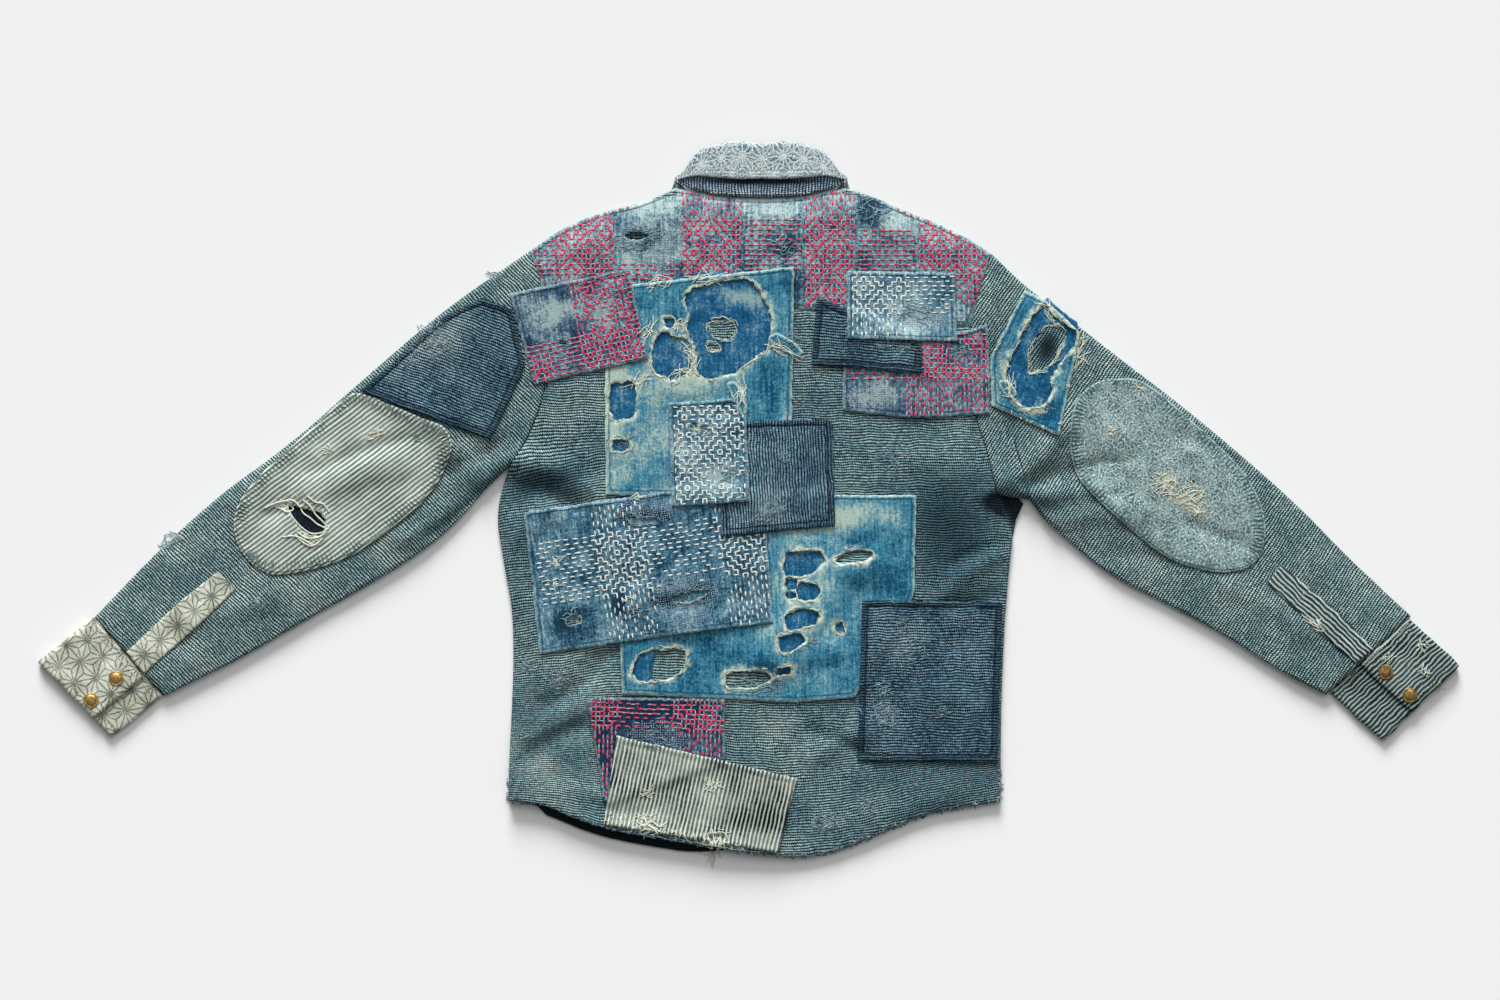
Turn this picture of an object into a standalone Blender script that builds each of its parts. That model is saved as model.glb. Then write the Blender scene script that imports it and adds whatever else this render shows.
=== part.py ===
"""Patched boro jacket, laid face down on a flat surface with its back up.

Blender works in metres here and every table is in millimetres. X runs across the back towards the wearer's
right sleeve, Y towards the collar, and Z = 0 is the surface that the cloth rests on. The fronts lie on the
surface, the back lies on them, and each patch is settled on whatever it was sewn over.
"""

import bmesh
import bpy
import numpy as np

MM = 0.001
GAP = 0.35  # clearance between two pieces that touch
CENTRE = 13.0  # X of the centre back at the neck

# Thickness of each cloth
KNIT = 3.0
YOKE = 2.2
COLLAR = 2.2
CUFF = 2.4
PLACKET = 1.4
DENIM = 1.4
COTTON = 1.2
KNIT_PATCH = 2.0
GATHERED = 1.8

LOFT = 9.6  # height of a sleeve or of the body, laid flat
CROWN_REACH = 24.0  # how far in from its outline the back has risen to its full height
LAP = 15.0  # each front passes the centre by this much
COLLAR_MIDDLE = 5.65  # height of the middle of the collar, which the stand and the leaf wrap round
STAND_LEVEL = 2.05
FALL_LEVEL = 4.6

SNAP_RADIUS = 7.5
SNAP_HEIGHT = 2.2

# Outline of the garment, x and y
SHOULDER_LEFT = [(-219, 248), (-178, 275), (-143, 288), (-108, 297), (-72, 311.5)]
SHOULDER_RIGHT = [(98, 311.5), (122, 304), (162, 287), (192, 275), (222, 260), (243, 246)]
ARMHOLE_LEFT = [(-219, 248), (-208, 222), (-205, 196), (-203, 115), (-213, 80), (-223, 57), (-238, 33)]
ARMHOLE_RIGHT = [(243, 246), (232, 210), (222, 172), (224, 125), (228, 83), (239, 47), (249, 5)]
YOKE_SEAM = [(-205, 196), (-100, 197), (0, 195), (64, 188), (150, 179), (222, 172)]
SIDE_LEFT = [(-238, 33), (-242, 9), (-250, -14), (-249, -35), (-243, -67), (-235, -120), (-235, -181),
             (-238, -253), (-239, -300)]
SIDE_RIGHT = [(249, 5), (253, -10), (262, -24), (265, -48), (259, -87), (256, -133), (253, -210), (252, -301)]
HEM = [(-239, -300), (-207, -304), (-146, -327), (-58, -343), (29, -355), (78, -353), (135, -332),
       (178, -314), (252, -301)]
SLEEVE_LEFT_UPPER = [(-219, 248), (-266, 216), (-316, 179), (-393, 113), (-456, 58), (-528, 4), (-591, -53),
                     (-653, -117)]
SLEEVE_LEFT_LOWER = [(-238, 33), (-268, 4), (-305, -36), (-366, -77), (-438, -118), (-511, -160), (-584, -195)]
SLEEVE_RIGHT_UPPER = [(243, 246), (275, 216), (313, 187), (380, 135), (452, 79), (542, 1), (600, -58), (660, -118)]
SLEEVE_RIGHT_LOWER = [(249, 5), (276, 4), (293, -18), (327, -48), (368, -78), (410, -100), (472, -133),
                      (538, -173), (580, -192)]

# Cuff corners: sleeve seam upper and lower, open edge upper and lower; how far the lap reaches across
CUFFS = {
    "left": dict(seam=((-653, -117), (-584, -195)), open=((-710, -161), (-635, -237)), over=0.75, under=0.48),
    "right": dict(seam=((660, -118), (580, -192)), open=((711, -165), (635, -241)), over=0.62, under=0.36),
}
# Placket outline: the far end, then the end at the cuff
PLACKETS = {
    "left": ([(-529, -71), (-569, -103), (-621, -152)], [(-511, -89), (-544, -121), (-603, -174)]),
    "right": ([(533, -65), (588, -111), (625, -149)], [(518, -83), (558, -121), (606, -163)]),
}
SNAPS = {"left_1": (-631, -178), "left_2": (-656, -200), "right_1": (637, -172), "right_2": (661, -195)}

# The collar from its front end round to the centre back: how far it has turned over, then the neck seam, the
# fold and the edge of the leaf, each as distance from the centre and y. Both halves follow these rows.
COLLAR_ROWS = [
    # turn, seam, fold, leaf edge
    (0, (6, 224), (8, 251), (58, 186)),
    (0, (34, 230), (26, 257), (84, 212)),
    (0, (60, 248), (46, 272), (100, 246)),
    (0, (76, 280), (66, 296), (100, 280)),
    (20, (80, 303), (77.5, 311), (90, 303)),
    (90, (80.5, 316), (80.5, 321), (80.5, 317)),
    (160, (78, 314), (76, 327), (78, 321)),
    (180, (63, 309), (64, 344), (63, 323)),
    (180, (40, 304), (42, 353), (42, 322)),
    (180, (0, 302), (0, 355), (0, 321)),
]

# The largest folds: where each runs, its half width and its height, below zero for a trough
FOLDS = [
    # x0, y0, x1, y1, half width, height
    (-238, 42, -150, 8, 16, 2.6),
    (-244, -45, -216, 22, 11, -1.6),
    (-134, -150, -207, -206, 12, -1.5),
    (-167, -226, -228, -263, 12, -1.6),
    (-150, -40, -60, -90, 16, 1.2),
    (32, -142, 116, -66, 15, 2.2),
    (196, -96, 258, -44, 13, 2.0),
    (64, -262, 118, -232, 14, 1.6),
    (180, -190, 246, -240, 14, 1.3),
    (250, 10, 318, 78, 13, 2.8),
    (262, 0, 372, 34, 12, -1.6),
    (300, -22, 392, -14, 12, 2.2),
    (-262, 18, -322, 92, 13, 1.8),
    (-272, -6, -322, -30, 10, -1.6),
    (-430, 26, -330, 62, 14, -1.6),
    (-488, -22, -440, 2, 14, -1.4),
    (426, 60, 486, 66, 14, -1.5),
    (436, -26, 500, -52, 14, -1.4),
    (-470, -96, -548, -118, 14, 1.6),
    (470, -84, 556, -128, 14, 1.8),
]

# Patches in the order they were sewn: cloth, thickness, then the points of the top, right, lower and left
# edges, each edge starting at its own corner and running clockwise
PATCHES = {
    "elbow_patch_left": ("cotton_green", GATHERED, True, [(-454, 55), (-426, 80), (-392, 107)],
                         [(-342, 88), (-299, 69), (-299, 40)], [(-321, 2), (-369, -39), (-416, -64)],
                         [(-478, -74), (-509, -46), (-511, -10), (-488, 24)]),
    "elbow_patch_right": ("cotton_blue", GATHERED, True, [(327, 98), (346, 117), (376, 121)],
                          [(400, 115), (451, 72), (495, 28)], [(515, -14), (514, -48), (490, -72)],
                          [(427, -62), (372, -21), (330, 22), (321, 64)]),
    "sleeve_patch_knit_left": ("knit_indigo", KNIT_PATCH, False, [(-388, 108), (-318, 172), (-271, 204)],
                               [(-235, 190)], [(-222, 136)], [(-257, 60), (-322, 84)]),
    "sleeve_patch_denim_right": ("denim", DENIM, False, [(276, 210), (302, 196)], [(331, 167), (325, 132)],
                                 [(310, 64)], [(243, 94), (242, 141)]),
    "patch_denim_upper": ("denim", DENIM, False, [(-144, 212)], [(46, 233), (44, 82)], [(44, 3)], [(-142, 5)]),
    "patch_red_left": ("sashiko_red", COTTON, False, [(-238, 206)], [(-119, 231)], [(-100, 141)], [(-214, 115)]),
    "patch_denim_lower": ("denim", DENIM, False, [(-133, -6), (88, 5)], [(168, 5), (166, -97)],
                          [(107, -197), (48, -202)], [(-126, -194)]),
    "patch_sashiko_large": ("sashiko_white", COTTON, False, [(-224, -12), (-78, 9)], [(16, 5)],
                            [(25, -122), (-77, -135)], [(-208, -154)]),
    "patch_knit_centre": ("knit_indigo", KNIT_PATCH, False, [(-28, 78)], [(84, 81)], [(87, -26)], [(-27, -36)]),
    "patch_white_centre": ("sashiko_white", COTTON, False, [(-79, 97)], [(-2, 102)], [(1, -1)], [(-76, -7)]),
    "patch_knit_lower": ("knit_indigo", KNIT_PATCH, False, [(114, -100)], [(254, -102)], [(249, -262)],
                         [(109, -260)]),
    "patch_red_bottom": ("sashiko_red", COTTON, False, [(-161, -197)], [(-23, -199)], [(-23, -259)], [(-144, -302)]),
    "patch_stripe": ("stripe", COTTON, False, [(-131, -235)], [(49, -278)], [(30, -352)], [(-144, -324)]),
    "patch_pink": ("sashiko_red", COTTON, False, [(96, 164), (208, 166)], [(239, 176), (241, 141)],
                   [(241, 86), (162, 82)], [(94, 89)]),
    "patch_knit_shoulder": ("knit_indigo", KNIT_PATCH, False, [(69, 203)], [(173, 157)], [(173, 126)], [(63, 135)]),
    "patch_white_shoulder": ("sashiko_white", COTTON, False, [(99, 229)], [(206, 227)], [(209, 158)], [(99, 161)]),
}

# Colour, roughness and metallic value of each material
MATERIALS = {
    "knit_blue": ("8FA6AB", 0.9, 0), "knit_indigo": ("2E4A68", 0.92, 0), "denim": ("4F86A3", 0.88, 0),
    "yoke_cloth": ("8C7A8E", 0.86, 0), "sashiko_red": ("B2647F", 0.86, 0), "sashiko_white": ("4C6A86", 0.86, 0),
    "stripe": ("9AA5A8", 0.86, 0), "collar_cloth": ("A9B9B1", 0.88, 0), "stand_knit": ("3E5866", 0.92, 0),
    "cuff_cream": ("C7CDBF", 0.86, 0), "cuff_stripe": ("98A9AB", 0.86, 0), "cotton_green": ("AAB9AF", 0.88, 0),
    "cotton_blue": ("7E979E", 0.88, 0), "placket_cream": ("C3CCBE", 0.86, 0), "placket_stripe": ("93A6AC", 0.86, 0),
    "brass": ("C08A3E", 0.32, 1), "antique_brass": ("8A6528", 0.38, 1),
}

CELL = 1.5  # spacing of the plan grid that records how high the pile is
STEPS = 14
# Points spread evenly over a triangle, as shares of its three corners
SPREAD = np.array([(i, j, STEPS - i - j) for i in range(STEPS + 1) for j in range(STEPS + 1 - i)]) / STEPS


def material(name):
    """The named material, made once."""
    found = bpy.data.materials.get(name)
    if found:
        return found
    code, roughness, metallic = MATERIALS[name]
    made = bpy.data.materials.new(name)
    made.use_nodes = True
    shader = made.node_tree.nodes["Principled BSDF"]
    shares = [int(code[i : i + 2], 16) / 255 for i in (0, 2, 4)]
    shader.inputs["Base Color"].default_value = (*[s / 12.92 if s < 0.04 else ((s + 0.055) / 1.055) ** 2.4
                                                   for s in shares], 1)
    shader.inputs["Roughness"].default_value = roughness
    shader.inputs["Metallic"].default_value = metallic
    return made


def curve(table, count, smooth=True):
    """count points spaced evenly along the rows of a table, rounded between them if smooth."""
    rows = np.array(table, float)
    if smooth and len(rows) > 2:
        ahead = np.vstack([rows[1:], 2 * rows[-1] - rows[-2]])
        behind = np.vstack([2 * rows[0] - rows[1], rows[:-1]])
        slope = (ahead - behind) / 2
        t = np.linspace(0, 1, 12, endpoint=False)[:, None]
        legs = [(2 * t**3 - 3 * t**2 + 1) * rows[i] + (t**3 - 2 * t**2 + t) * slope[i]
                + (3 * t**2 - 2 * t**3) * rows[i + 1] + (t**3 - t**2) * slope[i + 1] for i in range(len(rows) - 1)]
        rows = np.vstack(legs + [rows[-1:]])
    walked = np.concatenate([[0], np.cumsum(np.linalg.norm(np.diff(rows, axis=0), axis=1))])
    at = np.linspace(0, walked[-1], count)
    return np.column_stack([np.interp(at, walked, rows[:, k]) for k in (0, 1)])


def coons(top, bottom, left, right):
    """The plan grid that four edges bound: top and bottom run left to right, left and right run downwards."""
    u = np.linspace(0, 1, len(top))[None, :, None]
    v = np.linspace(0, 1, len(left))[:, None, None]
    ruled = (1 - v) * top[None] + v * bottom[None] + (1 - u) * left[:, None] + u * right[:, None]
    return ruled - (1 - u) * (1 - v) * top[0] - u * (1 - v) * top[-1] - (1 - u) * v * bottom[0] - u * v * bottom[-1]


def soft_step(t):
    t = np.clip(t, 0, 1)
    return t * t * (3 - 2 * t)


def distance_to(xy, line):
    """Shortest distance in plan from each point to an open line of points."""
    best = np.full(xy.shape[:-1], np.inf)
    for a, b in zip(line[:-1], line[1:]):
        along = np.clip(((xy - a) @ (b - a)) / max((b - a) @ (b - a), 1e-9), 0, 1)
        best = np.minimum(best, np.linalg.norm(xy - a - along[..., None] * (b - a), axis=-1))
    return best


def folds(xy):
    """Height that the largest folds add to the upper layer."""
    total = np.zeros(xy.shape[:-1])
    for x0, y0, x1, y1, half_width, height in FOLDS:
        start, run = np.array((x0, y0)), np.array((x1 - x0, y1 - y0))
        along = ((xy - start) @ run) / (run @ run)
        aside = np.linalg.norm(xy - start - along[..., None] * run, axis=-1)
        ends = soft_step(along * 4 + 1) * soft_step((1 - along) * 4 + 1)
        total += height * np.exp(-((aside / half_width) ** 2)) * ends
    return total


def triangles_of(rows, columns):
    """Corner numbers of the triangles of a grid numbered row by row, facing up where its rows run down the plan."""
    first = (np.arange(rows - 1)[:, None] * columns + np.arange(columns - 1)).ravel()
    return np.vstack([np.column_stack([first, first + columns, first + columns + 1]),
                      np.column_stack([first, first + columns + 1, first + 1])])


class Pile:
    """How high the cloth already laid stands over each point of the surface."""

    def __init__(self):
        self.top = np.zeros((560, 1000))
        self.near = self.top

    def _cell(self, xy):
        cells = np.round(xy / CELL).astype(int)
        return cells[..., 1] + 280, cells[..., 0] + 500

    def rest(self, xy, around=0.0):
        """Height at which a cloth clears the pile over each point, and within a distance around it."""
        turns = np.linspace(0, 2 * np.pi, 8, endpoint=False)
        spots = [xy] + [xy + around * np.array((np.cos(a), np.sin(a))) for a in turns if around]
        high = np.max([self.near[self._cell(spot)] for spot in spots], axis=0)
        return np.where(high > 0, high + GAP, 0)

    def add(self, corners):
        """Records the triangles, given by their corners."""
        points = np.einsum("sk,mkd->msd", SPREAD, corners).reshape(-1, 3)
        np.maximum.at(self.top, self._cell(points), points[:, 2])
        padded = np.pad(self.top, 1, mode="edge")
        rows, columns = self.top.shape
        self.near = np.max([padded[i : i + rows, j : j + columns] for i in range(3) for j in range(3)], axis=0)

    def settle(self, points, triangles):
        """Lifts the points of a cloth's underside until it clears the pile everywhere, then lets down any
        point that still has room below it."""
        need = self.rest(np.einsum("sk,mkd->msd", SPREAD, points[triangles][..., :2]))
        share = SPREAD / (SPREAD**2).sum(axis=1, keepdims=True)
        z = points[:, 2]
        base = z.copy()
        for _ in range(80):
            short = np.maximum(need - np.einsum("sk,mk->ms", SPREAD, z[triangles]), 0)
            if short.max() < 0.01:
                break
            lift = np.zeros_like(z)
            np.maximum.at(lift, triangles, (short[:, :, None] * share).max(axis=1))
            z += 0.8 * lift
        for _ in range(60):
            room = np.einsum("sk,mk->ms", SPREAD, z[triangles]) - need
            shares = np.where(SPREAD[None] > 0, room[:, :, None] / np.maximum(SPREAD[None], 0.05), np.inf)
            drop = np.full_like(z, np.inf)
            np.minimum.at(drop, triangles, shares.min(axis=1) / 3)
            z -= np.clip(drop, 0, z - base)


def finish(name, bm, cloth):
    """Turns the faces outwards and makes the object, shaded smooth except at the cut edges of the cloth."""
    bmesh.ops.recalc_face_normals(bm, faces=bm.faces)
    mesh = bpy.data.meshes.new(name)
    bm.to_mesh(mesh)
    bm.free()
    mesh.materials.append(material(cloth))
    mesh.shade_smooth()
    mesh.set_sharp_from_angle(angle=np.radians(50))
    made = bpy.data.objects.new(name, mesh)
    bpy.context.scene.collection.objects.link(made)
    made.parent = jacket
    return made


def panel(name, plan, thickness, cloth, under=None, neighbour=()):
    """A cloth laid on the pile over a plan grid. under gives the height of its underside where nothing lifts it.
    neighbour is the upper side of a cloth that it meets at a seam, which joins the pile only with this one."""
    rows, columns = plan.shape[:2]
    flat = plan.reshape(-1, 2)
    base = pile.rest(flat, 5.0) if under is None else under(flat)
    points = np.column_stack([flat, base])
    triangles = triangles_of(rows, columns)
    pile.settle(points, triangles)
    upper = points[triangles] + (0, 0, thickness)
    if neighbour is not None:
        pile.add(np.concatenate([upper, neighbour]) if len(neighbour) else upper)

    bm = bmesh.new()
    corners = [bm.verts.new(p * MM) for p in points]
    for triangle in triangles:
        bm.faces.new([corners[i] for i in triangle])
    grown = bmesh.ops.extrude_face_region(bm, geom=bm.faces[:], use_keep_orig=True)["geom"]
    lifted = [v for v in grown if isinstance(v, bmesh.types.BMVert)]
    bmesh.ops.translate(bm, verts=lifted, vec=(0, 0, thickness * MM))
    finish(name, bm, cloth)
    return upper


def loft(name, rings, cloth, closed_path):
    """A solid through closed rings of equal length. An open path is capped at both ends, each cap a strip
    between the first and second halves of its ring."""
    bm = bmesh.new()
    corners = [[bm.verts.new(p * MM) for p in ring] for ring in rings]
    size = len(rings[0])
    for a, b in zip(corners, corners[1:] + corners[:1] if closed_path else corners[1:]):
        for i in range(size):
            j = (i + 1) % size
            bm.faces.new([a[i], a[j], b[j]])
            bm.faces.new([a[i], b[j], b[i]])
    if not closed_path:
        for ring in (corners[0], corners[-1]):
            for i in range(size // 2 - 1):
                bm.faces.new([ring[i], ring[i + 1], ring[size - 2 - i], ring[size - 1 - i]])
    return finish(name, bm, cloth)


def sleeve(name, armhole, upper, lower, seam, outward):
    """A knitted tube laid flat. Its armhole follows the rows of the body's armhole, its far end the cuff seam."""
    stations, rows = 13, len(armhole)
    start = np.array(armhole, float) + (GAP * outward, 0)
    end = np.linspace(*np.array(seam, float), rows) - (GAP * outward, 0)
    edges = [curve(table, stations) for table in (upper, lower)]
    for edge, row in zip(edges, (0, -1)):
        edge[0], edge[-1] = start[row], end[row]
    plan = coons(edges[0], edges[1], start, end)  # rows across the sleeve, stations along it
    middle, half = LOFT / 2, LOFT / 2

    def ring(station, inset):
        line = plan[:, station]
        gaps = np.linalg.norm(np.diff(line, axis=0), axis=1)
        radius = half - inset

        def at(distance, from_lower):
            row, step = (rows - 1, -1) if from_lower else (0, 1)
            return line[row] + (line[row + step] - line[row]) * distance / gaps[-1 if from_lower else 0]

        turn = [(inset, 0.0), (inset + 0.3 * radius, 0.71 * radius), (inset + radius, radius)]
        first = [(at(d, False), z) for d, z in turn]
        last = [(at(d, True), z) for d, z in reversed(turn)]
        across = first + [(line[k], radius) for k in range(1, rows - 1)] + last
        rise = folds(np.array([p for p, _ in across]))
        fade = np.array([z / radius for _, z in across]) * np.sin(np.pi * np.clip(station / (stations - 1), 0.06, 0.94))
        upper_side = [(*p, middle + z + r * f) for (p, z), r, f in zip(across, rise, fade)]
        lower_side = [(*p, middle - z) for p, z in across[-2:0:-1]]
        return np.array(upper_side + lower_side)

    outer = [ring(k, 0.0) for k in range(stations)]
    inner = [ring(k, KNIT) for k in range(stations)]
    made = loft(name, outer + inner[::-1], "knit_blue", True)
    tops = np.array([ring_points[: rows + 4] for ring_points in outer])
    columns = tops.shape[1]
    pile.add(tops.reshape(-1, 3)[triangles_of(stations, columns)])
    return made


def cuff(side, cloth, outward):
    """A band laid flat: from the end of its lap over the top, round below, and back up under the lap."""
    at = CUFFS[side]
    seam, rim = np.array(at["seam"], float), np.array(at["open"], float)
    seam = seam + (GAP * outward, 0)
    width = np.linalg.norm(seam[1] - seam[0])
    half = CUFF / 2
    top, under, bottom = LOFT - half, LOFT - half - CUFF - GAP, half
    big, small = (top - bottom) / 2, (under - bottom) / 2
    left, right = big + half, width - small - half
    path = [(x, top, 90) for x in np.linspace(at["over"] * width, left + 6, 4)]
    path += [(left - big * np.sin(a), bottom + big + big * np.cos(a), 90 + np.degrees(a))
             for a in np.linspace(0, np.pi, 6)]
    path += [(x, bottom, 270) for x in np.linspace(left + 16, right - 16, 3)]
    path += [(right + small * np.sin(a), bottom + small - small * np.cos(a), 270 + np.degrees(a))
             for a in np.linspace(0, np.pi, 5)]
    path += [(x, under, 450) for x in np.linspace(right - 8, at["under"] * width, 3)]
    rings = []
    for x, z, facing in path:
        out = np.array((np.cos(np.radians(facing)), np.sin(np.radians(facing)))) * half
        ring = []
        for sign, depths in ((1, (0, 0.5, 1)), (-1, (1, 0.5, 0))):
            for depth in depths:
                share = (x + sign * out[0]) / width
                edge_near, edge_far = seam[0] + (seam[1] - seam[0]) * share, rim[0] + (rim[1] - rim[0]) * share
                ring.append((*(edge_near + (edge_far - edge_near) * depth), z + sign * out[1]))
        rings.append(np.array(ring))
    made = loft("cuff_" + side, rings, cloth, False)
    pile.add(np.array([[rings[i][a], rings[j][b], rings[k][c]] for n in range(3)
                       for i, a, j, b, k, c in ((n, 0, n, 2, n + 1, 2), (n, 0, n + 1, 2, n + 1, 0))]))
    return made


def collar_loop():
    """Rows of the collar table from one front end round the back to the other, with steps between them."""
    half = [(turn, *seam, *fold, *leaf) for turn, seam, fold, leaf in COLLAR_ROWS]
    half = np.array(half, float)
    at = np.arange(len(half))
    fine = np.sort(np.concatenate([at, at[:-1][3:7] + 0.5]))
    half = np.column_stack([np.interp(fine, at, half[:, k]) for k in range(half.shape[1])])
    return [(1, row) for row in half] + [(-1, row) for row in half[-2::-1]]


def collar(name, first, last, level, thickness, cloth, tuck):
    """One layer of the collar. first and last pick the columns of its two long edges, level is how far its
    back lies above its middle, and tuck bends the first edge over the layer inside it."""
    rings = []
    for mirror, row in collar_loop():
        turn = np.radians(row[0])
        start, end = row[first : first + 2], row[last : last + 2]
        side = np.array((-mirror * np.sin(turn), 0.0, -np.cos(turn)))
        flat = max(0.0, 2 * abs(np.cos(turn)) - 1)
        away = (start - end) / np.linalg.norm(start - end)
        spots = [(start + away * 2.2 * flat, tuck * flat), (start + away * 0.6 * flat, 0.0)] if tuck else [(start, 0.0)]
        spots += [(start + (end - start) * share, 0.0) for share in (0.3, 0.65, 1.0)[1 if tuck else 0 :]]
        wide = level + (0.5 * np.sin(turn) if tuck else 0)
        line = [np.array((CENTRE - mirror * p[0], p[1], COLLAR_MIDDLE)) + side * (wide - drop) for p, drop in spots]
        ring = [p + side * thickness / 2 for p in line] + [p - side * thickness / 2 for p in line[::-1]]
        rings.append(np.array(ring))
    loft(name, rings, cloth, False)
    # The inner face of the front rows looks up, under the yoke
    half = len(rings[0]) // 2
    inner = [ring[half:] for ring in rings]
    return np.concatenate([np.vstack([a, b])[triangles_of(2, half)] for a, b in zip(inner, inner[1:])
                           if max(a[:, 2].max(), b[:, 2].max()) < COLLAR_MIDDLE])


def crown(xy):
    """Height of the underside of the back: down on the fronts at its outline, risen clear of them further in."""
    edge = soft_step(distance_to(xy, outline) / CROWN_REACH)
    return KNIT + GAP + (LOFT - 2 * KNIT - GAP) * edge + folds(xy) * edge


def snap(name, x, y, metal):
    """The domed cap of a press stud, seated on the cuff."""
    reach = SNAP_RADIUS * np.array([(np.cos(a), np.sin(a)) for a in np.linspace(0, 2 * np.pi, 13)])
    seat = pile.rest(np.array((x, y)) + np.vstack([reach, [(0, 0)]])).max()
    bm = bmesh.new()
    bmesh.ops.create_cone(bm, cap_ends=True, segments=20, radius1=SNAP_RADIUS * MM, radius2=SNAP_RADIUS * MM,
                          depth=SNAP_HEIGHT * MM)
    rim = [e for e in bm.edges if all(v.co.z > 0 for v in e.verts)]
    bmesh.ops.bevel(bm, geom=rim, offset=1.1 * MM, segments=2, profile=0.5, affect="EDGES")
    made = finish(name, bm, metal)
    made.location = (x * MM, y * MM, (seat + SNAP_HEIGHT / 2) * MM)
    return made


def patch(name):
    cloth, thickness, rounded, *sides = PATCHES[name]
    ends = sides[1:] + sides[:1]
    edges = [side + end[:1] for side, end in zip(sides, ends)]
    lengths = [np.linalg.norm(np.diff(np.array(e, float), axis=0), axis=1).sum() for e in edges]
    across = max(4, round((lengths[0] + lengths[2]) / 46) + 1)
    down = max(4, round((lengths[1] + lengths[3]) / 46) + 1)
    if rounded:
        loop = curve(sum(sides, []) + sides[0][:1], 240)
        starts = [int(np.argmin(np.linalg.norm(loop - np.array(side[0]), axis=1))) for side in sides]
        starts[0], stops = 0, starts[1:] + [239]
        edges = [loop[a : b + 1] for a, b in zip(starts, stops)]
    top, right, bottom, left = (curve(edge, n, False) for edge, n in zip(edges, (across, down, across, down)))
    return panel(name, coons(top, bottom[::-1], left[::-1], right), thickness, cloth)


for old in list(bpy.data.objects):
    bpy.data.objects.remove(old, do_unlink=True)
jacket = bpy.data.objects.new("jacket", None)
bpy.context.scene.collection.objects.link(jacket)
pile = Pile()

# The outline, as one line from the left cuff over the collar and round the hem
outline = np.vstack([
    curve(SLEEVE_LEFT_UPPER, 24)[::-1], curve(SHOULDER_LEFT, 10), curve(SHOULDER_RIGHT, 10),
    curve(SLEEVE_RIGHT_UPPER, 24), curve(SLEEVE_RIGHT_LOWER, 24)[::-1], curve(SIDE_RIGHT, 16), curve(HEM, 30)[::-1],
    curve(SIDE_LEFT, 16)[::-1], curve(SLEEVE_LEFT_LOWER, 24),
])

# Collar: the leaf is folded outwards, so its fronts are the lowest cloth and its back the highest
pile.add(collar("collar_fall", 3, 5, FALL_LEVEL, COLLAR, "collar_cloth", 2.6))
stand_fronts = collar("collar_stand", 1, 3, STAND_LEVEL, COLLAR, "stand_knit", 0.0)

# Armhole rows of the yoke and of the body below it, then the sides down to the hem
SIDE_ROWS = 8
left_edge = np.vstack([ARMHOLE_LEFT[2:], curve(SIDE_LEFT, SIDE_ROWS)[1:]])
right_edge = np.vstack([ARMHOLE_RIGHT[2:], curve(SIDE_RIGHT, SIDE_ROWS)[1:]])

# Fronts: from the shoulder and neck seams to the hem, the wearer's left one outermost at the lap
neck = np.array([(dx + STAND_LEVEL * np.sin(np.radians(turn)), y) for turn, (dx, y), _, _ in COLLAR_ROWS[:5]])
for name, mirror, shoulder, armhole, side in (
    ("front_left", -1, SHOULDER_LEFT, ARMHOLE_LEFT, SIDE_LEFT),
    ("front_right", 1, SHOULDER_RIGHT[::-1], ARMHOLE_RIGHT, SIDE_RIGHT),
):
    inner = CENTRE - mirror * LAP
    throat = np.column_stack([CENTRE + mirror * (neck[::-1, 0] + 0.6), neck[::-1, 1] - 0.6])
    top = np.vstack([curve(shoulder, 6) - (0, 1.5), throat, [(inner, 223)]])
    outer = np.vstack([armhole, curve(side, SIDE_ROWS)[1:]]).astype(float)
    outer[:, 0] -= mirror * np.where(np.arange(len(outer)) < len(armhole), 0, 1.5)
    outer[0] += (outer[1] - outer[0]) * 0.06
    top[0] = outer[0]
    hem = np.array([h for h in HEM if (h[0] - inner) * mirror > 8] + [(inner, -352)], float)
    hem = hem[np.argsort(hem[:, 0] * -mirror)] + (0, 3.0)
    hem[0] = outer[-1]
    bottom = curve(hem, len(top))
    centre = np.linspace(top[-1], bottom[-1], len(outer))
    plan = coons(top, bottom, outer, centre) if mirror < 0 else coons(top[::-1], bottom[::-1], centre, outer)
    panel(name, plan, KNIT, "knit_blue", lambda xy: np.zeros(len(xy)))

pile.add(stand_fronts)

# Back: the yoke between the shoulders and its seam, and the body below
neckline = [(CENTRE - dx, y) for _, (dx, y), _, _ in COLLAR_ROWS[7:]]
neckline += [(2 * CENTRE - x, y) for x, y in neckline[-2::-1]]
top = np.vstack([curve(SHOULDER_LEFT, 5), np.array(neckline) - (0, 0.7), curve(SHOULDER_RIGHT, 6)])
yoke_left, yoke_right = (np.array(rows[:3], float) for rows in (ARMHOLE_LEFT, ARMHOLE_RIGHT))
yoke_seam = curve(YOKE_SEAM, len(top)) + (0, GAP)
yoke_left, yoke_right = (np.vstack([curve(side[:2], 3), curve(side[1:], 4)[1:]]) for side in (yoke_left, yoke_right))
yoke_seam[0], yoke_seam[-1] = yoke_left[-1] + (0, GAP), yoke_right[-1] + (0, GAP)
yoke_left[-1], yoke_right[-1] = yoke_seam[0], yoke_seam[-1]
yoke = panel("back_yoke", coons(top, yoke_seam, yoke_left, yoke_right), YOKE, "yoke_cloth", crown, None)
body_top = yoke_seam - (0, GAP)
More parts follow.
